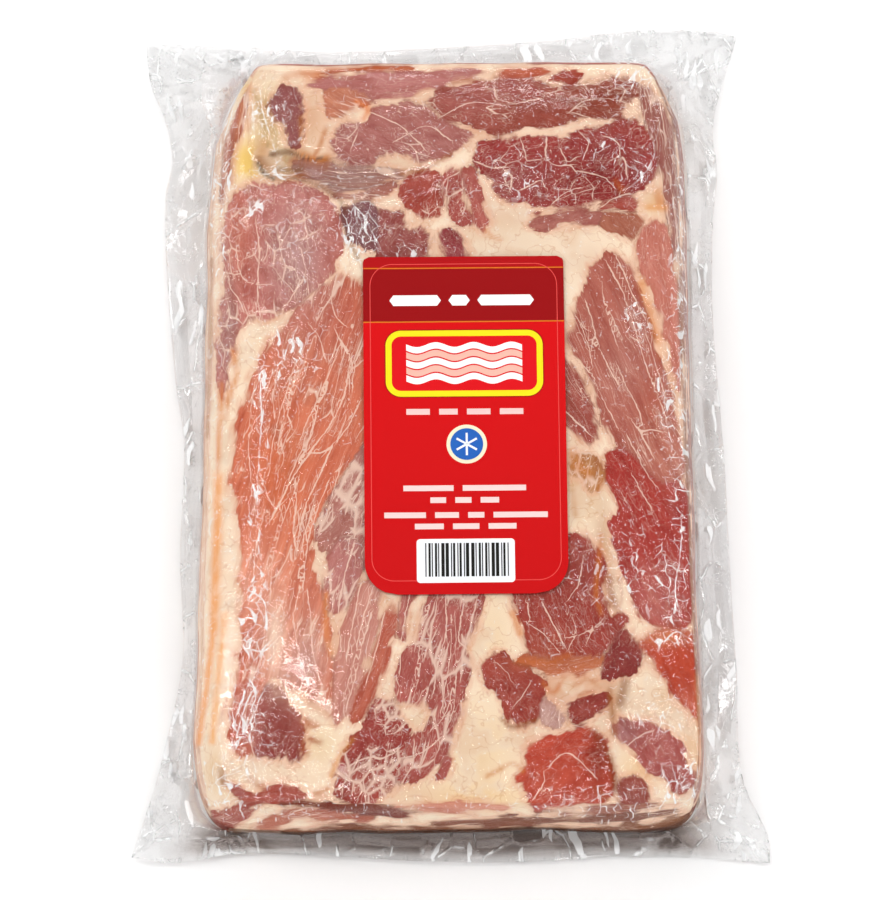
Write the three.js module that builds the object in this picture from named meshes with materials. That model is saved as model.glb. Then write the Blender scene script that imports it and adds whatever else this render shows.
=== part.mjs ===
import * as THREE from "three";

// A block of bacon drawn tight into a clear vacuum pouch, lying on its back with a paper label on its face.
// Millimetres, +Z up, +Y towards the pouch's head seal. The origin is on the surface that the pack lies on,
// under the middle of the pouch's outline. The sealed pouch can't be entered, so it is one solid with the
// bacon in it: the block, its rounded shoulders, and the sealed border of film with an ear at each corner.

// Driving dimensions
const blockHeight = 46; // at the middle of the face
const faceCrown = 3; // how much lower the face lies at its corners
const waistHeight = 15; // where the film leaves the block's side
const rimHeight = 3.2; // the border's outer edge, drooping towards the table
const filmSolid = 1.4; // the sealed border, thicker than the real film so that it is a sturdy solid
const footRounding = 7; // how far the flat underside lies inside the block's sides
const labelWidth = 80;
const labelLength = 139;
const labelThickness = 0.5;
const labelGap = 0.3; // between the film and the label's back
const labelCentre = new THREE.Vector2(5.6, -7);
const labelTurn = THREE.MathUtils.degToRad(0.6);
const labelHeadRadius = 2.5;
const labelFootRadius = 13;

// Corners of the face and of the block at its widest, from the lower left and anticlockwise
const faceCorners = [[-86, -160], [97, -159], [85, 143], [-83, 142]];
const sideCorners = [[-103, -165], [102, -164], [99, 152], [-98, 151]];
const faceSquareness = 11;
const sideSquareness = 11;

// The pouch's outline, side by side from the lower left ear and anticlockwise
const rimSides = [
  [[-126, -173], [-108, -175], [-76, -171], [-4, -174.5], [40, -174], [68, -172], [98, -172.5], [126, -175]],
  [[126, -175], [125, -163], [115, -138], [114, -100], [112, -55], [110, -6], [106.5, 50], [107, 90],
    [109, 112], [107.5, 132], [112, 152], [118, 172]],
  [[118, 172], [106, 174.5], [77, 174.4], [40, 170], [-4, 167], [-40, 165], [-68, 165.3], [-96, 167.5], [-125.5, 168]],
  [[-125.5, 168], [-123, 150], [-117, 135], [-114, 118], [-116.5, 100], [-115, 62], [-111.5, 24],
    [-107.5, -4], [-108.5, -50], [-107, -92], [-113.5, -128], [-119.5, -152], [-126, -173]],
];

// How finely the surfaces are divided
const cellsAcross = 26;
const cellsAlong = 40;
const shoulderSteps = 5;
const borderStations = [0.14, 0.36, 0.62, 0.84, 1];
const footSteps = 3;

// The fold where the flap at the head of the block meets the rest, deepest at the left and gone at the right
const fold = { from: [-86, 104], to: [20, 104], sag: 7, depth: 5.5, halfWidth: 7 };

// Shallow swellings of the meat under the film: middle, reach across and along, height
const swellings = [
  { at: [-58, 72], reach: [26, 34], height: 1.6 },
  { at: [-48, -20], reach: [24, 60], height: 1.2 },
  { at: [40, 118], reach: [46, 16], height: 1.8 },
  { at: [70, 20], reach: [20, 50], height: 1.0 },
  { at: [-70, -122], reach: [18, 20], height: -1.8 },
  { at: [60, -110], reach: [26, 22], height: 1.2 },
];

function smooth(edge0, edge1, value) {
  return THREE.MathUtils.smoothstep(value, edge0, edge1);
}

// Height of the pack's face above the table
function faceHeight(x, y) {
  const crown = faceCrown * 0.5 * ((x / 95) ** 2 + (y / 155) ** 4);
  let height = blockHeight - crown;
  for (const s of swellings) {
    const away = ((x - s.at[0]) / s.reach[0]) ** 2 + ((y - s.at[1]) / s.reach[1]) ** 2;
    height += s.height * Math.exp(-away);
  }
  const along = THREE.MathUtils.clamp((x - fold.from[0]) / (fold.to[0] - fold.from[0]), 0, 1);
  const line = THREE.MathUtils.lerp(fold.from[1], fold.to[1], along) - fold.sag * Math.sin(Math.PI * along);
  const fade = smooth(0, 0.12, along) * (1 - smooth(0.35, 0.95, along));
  height -= fold.depth * fade * Math.exp(-(((y - line) / fold.halfWidth) ** 2));
  return height;
}

// A point of a rounded four-sided outline; u and v run from -1 to 1 across and along it
function outlinePoint(corners, squareness, u, v) {
  const reach = Math.max(Math.abs(u), Math.abs(v));
  const round = (Math.abs(u) ** squareness + Math.abs(v) ** squareness) ** (1 / squareness);
  const pull = reach > 0 ? reach / round : 1;
  const s = (u * pull + 1) / 2;
  const t = (v * pull + 1) / 2;
  const foot = new THREE.Vector2().lerpVectors(new THREE.Vector2(...corners[0]), new THREE.Vector2(...corners[1]), s);
  const head = new THREE.Vector2().lerpVectors(new THREE.Vector2(...corners[3]), new THREE.Vector2(...corners[2]), s);
  return foot.lerp(head, t);
}

// Grid places round the edge of the face, anticlockwise from the lower left corner
function edgePlaces() {
  const places = [];
  for (let i = 0; i < cellsAcross; i++) places.push([i, 0]);
  for (let j = 0; j < cellsAlong; j++) places.push([cellsAcross, j]);
  for (let i = cellsAcross; i > 0; i--) places.push([i, cellsAlong]);
  for (let j = cellsAlong; j > 0; j--) places.push([0, j]);
  return places;
}

// The pouch's outline with one point for each place round the face, ear to ear
function rimPoints() {
  return rimSides.flatMap((side, k) => {
    const curve = new THREE.SplineCurve(side.map((p) => new THREE.Vector2(...p)));
    return curve.getSpacedPoints(k % 2 ? cellsAlong : cellsAcross).slice(0, -1);
  });
}

// Height of the border's upper film: it droops from the block to the rim, stands in a tent at each corner
// and ripples along the sides. share is 0 at the block and 1 at the rim.
function borderHeight(u, v, share) {
  const corner = Math.exp(-(((1 - Math.min(Math.abs(u), Math.abs(v))) / 0.16) ** 2));
  const droop = rimHeight + (waistHeight - rimHeight) * (1 - share) ** 1.5;
  const tent = 11 * corner * Math.sin(Math.PI * share ** 0.7) * (1 - 0.35 * share);
  const ripple = (0.9 * Math.sin(9 * v + 2 * u) + 0.6 * Math.sin(17 * v - 5 * u)) * share;
  return droop + tent + ripple;
}

function pouchGeometry() {
  const points = [];
  const faces = [];
  const put = (x, y, z) => points.push(x, y, z) / 3 - 1;
  const places = edgePlaces();
  const rim = rimPoints();
  const gridAt = [];

  // The face, a grid that follows its own rounded outline
  for (let j = 0; j <= cellsAlong; j++)
    for (let i = 0; i <= cellsAcross; i++) {
      const p = outlinePoint(faceCorners, faceSquareness, (2 * i) / cellsAcross - 1, (2 * j) / cellsAlong - 1);
      gridAt.push(put(p.x, p.y, faceHeight(p.x, p.y)));
    }
  const cell = (i, j) => gridAt[j * (cellsAcross + 1) + i];
  for (let j = 0; j < cellsAlong; j++)
    for (let i = 0; i < cellsAcross; i++) {
      faces.push(cell(i, j), cell(i + 1, j), cell(i + 1, j + 1));
      faces.push(cell(i, j), cell(i + 1, j + 1), cell(i, j + 1));
    }

  // One ring of points for each station from the face's edge over the shoulder, out to the rim and back under
  const rings = [places.map(([i, j]) => cell(i, j))];
  const stations = places.map(([i, j], k) => {
    const u = (2 * i) / cellsAcross - 1;
    const v = (2 * j) / cellsAlong - 1;
    return {
      u,
      v,
      face: outlinePoint(faceCorners, faceSquareness, u, v),
      side: outlinePoint(sideCorners, sideSquareness, u, v),
      rim: rim[k],
    };
  });
  const addRing = (place) => rings.push(stations.map((s) => put(...place(s))));

  for (let step = 1; step <= shoulderSteps; step++) {
    const turn = ((Math.PI / 2) * step) / shoulderSteps;
    addRing((s) => {
      const p = s.face.clone().lerp(s.side, Math.sin(turn));
      const top = faceHeight(s.face.x, s.face.y);
      return [p.x, p.y, waistHeight + (top - waistHeight) * Math.cos(turn)];
    });
  }
  const border = (share, below) => (s) => {
    const p = s.side.clone().lerp(s.rim, share);
    return [p.x, p.y, borderHeight(s.u, s.v, share) - below];
  };
  for (const share of borderStations) addRing(border(share, 0));
  for (const share of [...borderStations].reverse()) addRing(border(share, filmSolid));
  for (let step = 0; step <= footSteps; step++) {
    const turn = ((Math.PI / 2) * step) / footSteps;
    addRing((s) => {
      const away = s.side.length();
      const p = s.side.clone().setLength(away - footRounding * (1 - Math.cos(turn)));
      return [p.x, p.y, (waistHeight - 3 * filmSolid) * (1 - Math.sin(turn))];
    });
  }
  for (let r = 0; r + 1 < rings.length; r++)
    for (let k = 0; k < places.length; k++) {
      const n = (k + 1) % places.length;
      faces.push(rings[r][k], rings[r + 1][k], rings[r + 1][n]);
      faces.push(rings[r][k], rings[r + 1][n], rings[r][n]);
    }

  // The flat underside
  const last = rings[rings.length - 1];
  const middle = put(0, 0, 0);
  for (let k = 0; k < last.length; k++) faces.push(last[k], middle, last[(k + 1) % last.length]);

  const geometry = new THREE.BufferGeometry();
  geometry.setAttribute("position", new THREE.Float32BufferAttribute(points, 3));
  geometry.setIndex(faces);
  geometry.computeVertexNormals();
  return geometry;
}

// Half the label's width at a distance along it from its middle, less in its rounded corners
function labelHalfWidth(along) {
  const radius = along < 0 ? labelFootRadius : labelHeadRadius;
  const past = Math.abs(along) - (labelLength / 2 - radius);
  const cut = past > 0 ? radius - Math.sqrt(Math.max(radius ** 2 - past ** 2, 0)) : 0;
  return labelWidth / 2 - cut;
}

// Where the label's rows lie along it, closer together in the rounded corners
function labelRows() {
  const rows = [];
  const half = labelLength / 2;
  const cornerSteps = 6;
  for (let k = 0; k < cornerSteps; k++)
    rows.push(-half + labelFootRadius * (1 - Math.cos(((Math.PI / 2) * (k + 0.5)) / cornerSteps)));
  const plainSteps = 14;
  const from = -half + labelFootRadius;
  const to = half - labelHeadRadius;
  for (let k = 0; k <= plainSteps; k++) rows.push(from + ((to - from) * k) / plainSteps);
  rows.push(half - labelHeadRadius * 0.5, half - labelHeadRadius * 0.15);
  return [-half, ...rows, half];
}

function labelGeometry() {
  const points = [];
  const faces = [];
  const columns = 10;
  const rows = labelRows();
  const perSheet = rows.length * (columns + 1);
  for (const lift of [labelGap + labelThickness, labelGap])
    for (const along of rows)
      for (let i = 0; i <= columns; i++) {
        const across = labelHalfWidth(along) * ((2 * i) / columns - 1);
        const p = new THREE.Vector2(across, along).rotateAround(new THREE.Vector2(), labelTurn).add(labelCentre);
        points.push(p.x, p.y, faceHeight(p.x, p.y) + lift);
      }
  const at = (i, j, sheet) => sheet * perSheet + j * (columns + 1) + i;
  for (let j = 0; j + 1 < rows.length; j++)
    for (let i = 0; i < columns; i++) {
      faces.push(at(i, j, 0), at(i + 1, j, 0), at(i + 1, j + 1, 0), at(i, j, 0), at(i + 1, j + 1, 0), at(i, j + 1, 0));
      faces.push(at(i, j, 1), at(i + 1, j + 1, 1), at(i + 1, j, 1), at(i, j, 1), at(i, j + 1, 1), at(i + 1, j + 1, 1));
    }
  const edge = [];
  for (let i = 0; i < columns; i++) edge.push([i, 0]);
  for (let j = 0; j + 1 < rows.length; j++) edge.push([columns, j]);
  for (let i = columns; i > 0; i--) edge.push([i, rows.length - 1]);
  for (let j = rows.length - 1; j > 0; j--) edge.push([0, j]);
  edge.forEach(([i, j], k) => {
    const [m, n] = edge[(k + 1) % edge.length];
    faces.push(at(i, j, 0), at(i, j, 1), at(m, n, 1), at(i, j, 0), at(m, n, 1), at(m, n, 0));
  });
  const geometry = new THREE.BufferGeometry();
  geometry.setAttribute("position", new THREE.Float32BufferAttribute(points, 3));
  geometry.setIndex(faces);
  geometry.computeVertexNormals();
  return geometry;
}

const baconInFilm = new THREE.MeshStandardMaterial({ color: 0xc9786a, roughness: 0.25, metalness: 0 });
const printedPaper = new THREE.MeshStandardMaterial({ color: 0xcf1219, roughness: 0.35, metalness: 0 });

const pack = new THREE.Group();
const pouch = new THREE.Mesh(pouchGeometry(), baconInFilm);
pouch.name = "pouch";
const label = new THREE.Mesh(labelGeometry(), printedPaper);
label.name = "label";
pack.add(pouch, label);

export default pack;
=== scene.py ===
# A block of bacon drawn tight into a clear vacuum pouch, with a printed label on its face.
# Lengths here are in millimetres and become metres by mm where a mesh is placed.
import math
from functools import partial
import bpy
import numpy as np
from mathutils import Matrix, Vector, noise


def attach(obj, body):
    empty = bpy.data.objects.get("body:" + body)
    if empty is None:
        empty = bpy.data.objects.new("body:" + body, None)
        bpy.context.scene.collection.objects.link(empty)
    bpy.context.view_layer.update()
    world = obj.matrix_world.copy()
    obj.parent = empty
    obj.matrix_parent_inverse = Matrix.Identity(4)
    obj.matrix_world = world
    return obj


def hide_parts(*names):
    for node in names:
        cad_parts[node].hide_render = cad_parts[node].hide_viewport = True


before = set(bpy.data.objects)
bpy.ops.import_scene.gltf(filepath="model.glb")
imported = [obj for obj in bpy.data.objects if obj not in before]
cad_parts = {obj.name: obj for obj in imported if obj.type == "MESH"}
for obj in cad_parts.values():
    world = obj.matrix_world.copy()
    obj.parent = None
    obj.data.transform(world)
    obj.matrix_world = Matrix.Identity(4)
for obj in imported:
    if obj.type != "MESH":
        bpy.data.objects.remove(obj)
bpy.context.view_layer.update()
mm = 0.001


def rawColour(code):  # an sRGB hex code as linear red, green and blue
    parts = [int(code[i:i + 2], 16) / 255 for i in (0, 2, 4)]
    return [p / 12.92 if p <= 0.04045 else ((p + 0.055) / 1.055) ** 2.4 for p in parts]


def colour(code):
    return (*rawColour(code), 1.0)


# A colour noted as it looks through the film, with the film's pale veil taken off it again
def underFilm(code):
    veil, passed = 0.012, 0.95
    return np.array([max((c - veil) / passed, 0.004) for c in rawColour(code)])


# Camera: the photo looks down at 74 degrees from the pack's foot
view = {"target": (-2.7, -10.2, 20), "elevation": 74, "distance": 2200, "lens": 220}


def makeCamera(v):
    data = bpy.data.cameras.new("camera")
    data.lens = v["lens"]
    data.sensor_width = 36
    data.sensor_fit = "AUTO"
    camera = bpy.data.objects.new("camera", data)
    bpy.context.collection.objects.link(camera)
    up = math.radians(v["elevation"])
    away = Vector((0, -math.cos(up), math.sin(up))) * v["distance"]
    camera.location = (Vector(v["target"]) + away) * mm
    camera.rotation_euler = (-away).to_track_quat("-Z", "Y").to_euler()
    bpy.context.scene.camera = camera


makeCamera(view)
print("camera placed")

# The pack's form, the same named sizes as the solid's, with a little more block in its corners
form = {
    "blockHeight": 46, "faceCrown": 3, "waistHeight": 15, "rimHeight": 3.2, "footRounding": 7,
    "faceCorners": [(-86, -160), (97, -159), (85, 143), (-83, 142)],
    "sideCorners": [(-103, -165), (102, -164), (99, 152), (-98, 151)],
    "squareness": 17,
    "swellings": [
        ((-58, 72), (26, 34), 1.6), ((-48, -20), (24, 60), 1.2), ((40, 118), (46, 16), 1.8),
        ((70, 20), (20, 50), 1.0), ((-70, -122), (18, 20), -1.8), ((60, -110), (26, 22), 1.2),
    ],
    "fold": {"from": (-86, 104), "to": (20, 104), "sag": 7, "depth": 5.5, "halfWidth": 7},
}

# The pouch's outline, side by side from the lower left ear and anticlockwise
rimSides = [
    [(-126, -173), (-108, -175), (-76, -171), (-4, -174.5), (40, -174), (68, -172), (98, -172.5),
     (126, -175)],
    [(126, -175), (125, -163), (115, -138), (114, -100), (112, -55), (110, -6), (106.5, 50), (107, 90),
     (109, 112), (107.5, 132), (112, 152), (118, 172)],
    [(118, 172), (106, 174.5), (77, 174.4), (40, 170), (-4, 167), (-40, 165), (-68, 165.3), (-96, 167.5),
     (-125.5, 168)],
    [(-125.5, 168), (-123, 150), (-117, 135), (-114, 118), (-116.5, 100), (-115, 62), (-111.5, 24),
     (-107.5, -4), (-108.5, -50), (-107, -92), (-113.5, -128), (-119.5, -152), (-126, -173)],
]


def smooth(low, high, value):
    t = np.clip((value - low) / (high - low), 0, 1)
    return t * t * (3 - 2 * t)


def wave(turns):  # a folded line between 0 and 1 with sharp crests, one crest for each whole turn
    return 2 * np.abs(turns - np.floor(turns + 0.5))


def roughness(x, y, size, seed=0.0):  # smooth noise between about -1 and 1, with humps of that size
    spots = zip((x / size).tolist(), (y / size).tolist())
    return np.array([noise.noise(Vector((a, b, seed))) for a, b in spots])


def spot(x, y, middle, reach):  # 1 in the middle of a soft patch, fading out over its reach
    return np.exp(-(((x - middle[0]) / reach[0]) ** 2 + ((y - middle[1]) / reach[1]) ** 2))


def faceHeight(x, y):
    height = form["blockHeight"] - form["faceCrown"] * 0.5 * ((x / 95) ** 2 + (y / 155) ** 4)
    for middle, reach, rise in form["swellings"]:
        height = height + rise * spot(x, y, middle, reach)
    f = form["fold"]
    along = np.clip((x - f["from"][0]) / (f["to"][0] - f["from"][0]), 0, 1)
    line = f["from"][1] + (f["to"][1] - f["from"][1]) * along - f["sag"] * np.sin(math.pi * along)
    fade = smooth(0, 0.12, along) * (1 - smooth(0.35, 0.95, along))
    return height - f["depth"] * fade * np.exp(-(((y - line) / f["halfWidth"]) ** 2))


def outlinePoint(corners, u, v):
    n = form["squareness"]
    reach = np.maximum(np.abs(u), np.abs(v))
    rounding = (np.abs(u) ** n + np.abs(v) ** n) ** (1 / n)
    pull = np.where(reach > 0, reach / np.maximum(rounding, 1e-9), 1)
    s, t = (u * pull + 1) / 2, (v * pull + 1) / 2
    (ax, ay), (bx, by), (cx, cy), (dx, dy) = corners
    footX, footY = ax + (bx - ax) * s, ay + (by - ay) * s
    headX, headY = dx + (cx - dx) * s, dy + (cy - dy) * s
    return footX + (headX - footX) * t, footY + (headY - footY) * t


# The sides stand in a little from the solid's where the vacuum has drawn them in, most at the head's corners
draws = {"right": [(-165, 1), (-110, 1.5), (-60, 3), (60, 3.5), (110, 3), (128, 5), (143, 11)],
         "left": [(-165, 3), (-130, 0), (-60, 0.5), (80, 0), (118, 2), (130, 6), (143, 11)]}


def drawnIn(u, sideX, sideY, faceX, share):
    right, left = (np.interp(sideY, *zip(*draws[side])) * share for side in ("right", "left"))
    outward = smooth(0.75, 1.0, np.abs(u))
    return np.where(u > 0, np.maximum(sideX - right * outward, faceX + outward),
                    np.minimum(sideX + left * outward, faceX - outward))


def footInset(v):  # how far the block draws in below its waist: little at the foot, where it stands straight
    return form["footRounding"] * (1 - 0.75 * smooth(0.9, 1.0, -v))


def unevenSide(sideX, sideY):  # the pressed block's sides bulge by a millimetre here and there
    bulge = 1 + 0.009 * roughness(sideX, sideY, 24, 3.3)
    return sideX * bulge, sideY * bulge


def curve(p, perSpan):  # a smooth curve from the second of the points to the last but one
    return [0.5 * (2 * b + (c - a) * t + (2 * a - 5 * b + 4 * c - d) * t ** 2
                   + (3 * b - a - 3 * c + d) * t ** 3)
            for a, b, c, d in zip(p[:-3], p[1:-2], p[2:-1], p[3:]) for t in np.arange(perSpan) / perSpan]


def flowingLine(points, perSpan=12):  # a smooth line through the points, as many steps to a span
    p = np.array(points, float)
    p = np.vstack([2 * p[0] - p[1], p, 2 * p[-1] - p[-2]])
    return np.array([*curve(p, perSpan), p[-2]])


def flowingLoop(points, perSpan=5):
    p = np.array(points, float)
    return np.array(curve(np.vstack([p[-1:], p, p[:2]]), perSpan))


def rimPoint(u, v):  # where the pouch's edge lies beyond a place on the face's edge
    x, y = np.zeros_like(u), np.zeros_like(u)
    near = 1e-6
    sides = [(v < -1 + near, (u + 1) / 2), (u > 1 - near, (v + 1) / 2),
             (v > 1 - near, (1 - u) / 2), (u < -1 + near, (1 - v) / 2)]
    for points, (here, share) in zip(rimSides, sides):
        line = flowingLine(points, 24)
        run = np.concatenate([[0], np.cumsum(np.hypot(*np.diff(line, axis=0).T))])
        x = np.where(here, np.interp(share * run[-1], run, line[:, 0]), x)
        y = np.where(here, np.interp(share * run[-1], run, line[:, 1]), y)
    return x, y


def borderHeight(u, v, share):  # the sealed border's upper film, from the block out to the rim
    corner = np.exp(-(((1 - np.minimum(np.abs(u), np.abs(v))) / 0.16) ** 2))
    droop = form["rimHeight"] + (form["waistHeight"] - form["rimHeight"]) * (1 - share) ** 1.5
    tent = 11 * corner * np.sin(math.pi * share ** 0.7) * (1 - 0.35 * share)
    return droop + tent + (0.9 * np.sin(9 * v + 2 * u) + 0.6 * np.sin(17 * v - 5 * u)) * share


# How a blank becomes a piece: it is cut and extruded in edit mode, and its points are then set in place


def only(piece):
    if bpy.context.object and bpy.context.object.mode != "OBJECT":
        bpy.ops.object.mode_set(mode="OBJECT")
    bpy.ops.object.select_all(action="DESELECT")
    if piece:
        piece.select_set(True)
        bpy.context.view_layer.objects.active = piece


def flatBlank(across, along):
    only(None)
    bpy.ops.mesh.primitive_grid_add(x_subdivisions=across, y_subdivisions=along, size=2)
    return bpy.context.object


def ringedBlank(name, across, along, rings):
    blank = flatBlank(across, along)
    blank.name = blank.data.name = name
    bpy.ops.object.mode_set(mode="EDIT")
    bpy.ops.mesh.select_mode(type="EDGE")
    bpy.ops.mesh.select_all(action="DESELECT")
    bpy.ops.mesh.select_non_manifold()
    for _ in range(rings):
        bpy.ops.mesh.extrude_region_move(TRANSFORM_OT_translate={"value": (0, 0, -1)})
    bpy.ops.mesh.merge(type="CENTER")
    bpy.ops.object.mode_set(mode="OBJECT")
    return blank


def readPoints(piece):
    flat = np.empty(len(piece.data.vertices) * 3)
    piece.data.vertices.foreach_get("co", flat)
    return flat.reshape(-1, 3)


def setPoints(piece, x, y, z):
    piece.data.vertices.foreach_set("co", (np.stack([x, y, z], axis=1) * mm).ravel())
    piece.data.update()


def giveNumbers(piece, name, values):
    field = piece.data.attributes.new(name, "FLOAT", "POINT")
    field.data.foreach_set("value", np.asarray(values, float))


def giveColours(piece, name, values):
    field = piece.data.attributes.new(name, "FLOAT_COLOR", "POINT")
    field.data.foreach_set("color", np.hstack([values, np.ones((len(values), 1))]).ravel())


def giveVectors(piece, name, values):
    field = piece.data.attributes.new(name, "FLOAT_VECTOR", "POINT")
    field.data.foreach_set("vector", np.asarray(values, float).ravel())


def finishSurface(piece):
    only(piece)
    bpy.ops.object.mode_set(mode="EDIT")
    bpy.ops.mesh.select_all(action="SELECT")
    bpy.ops.mesh.normals_make_consistent(inside=False)
    bpy.ops.object.mode_set(mode="OBJECT")
    bpy.ops.object.shade_smooth()


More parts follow.
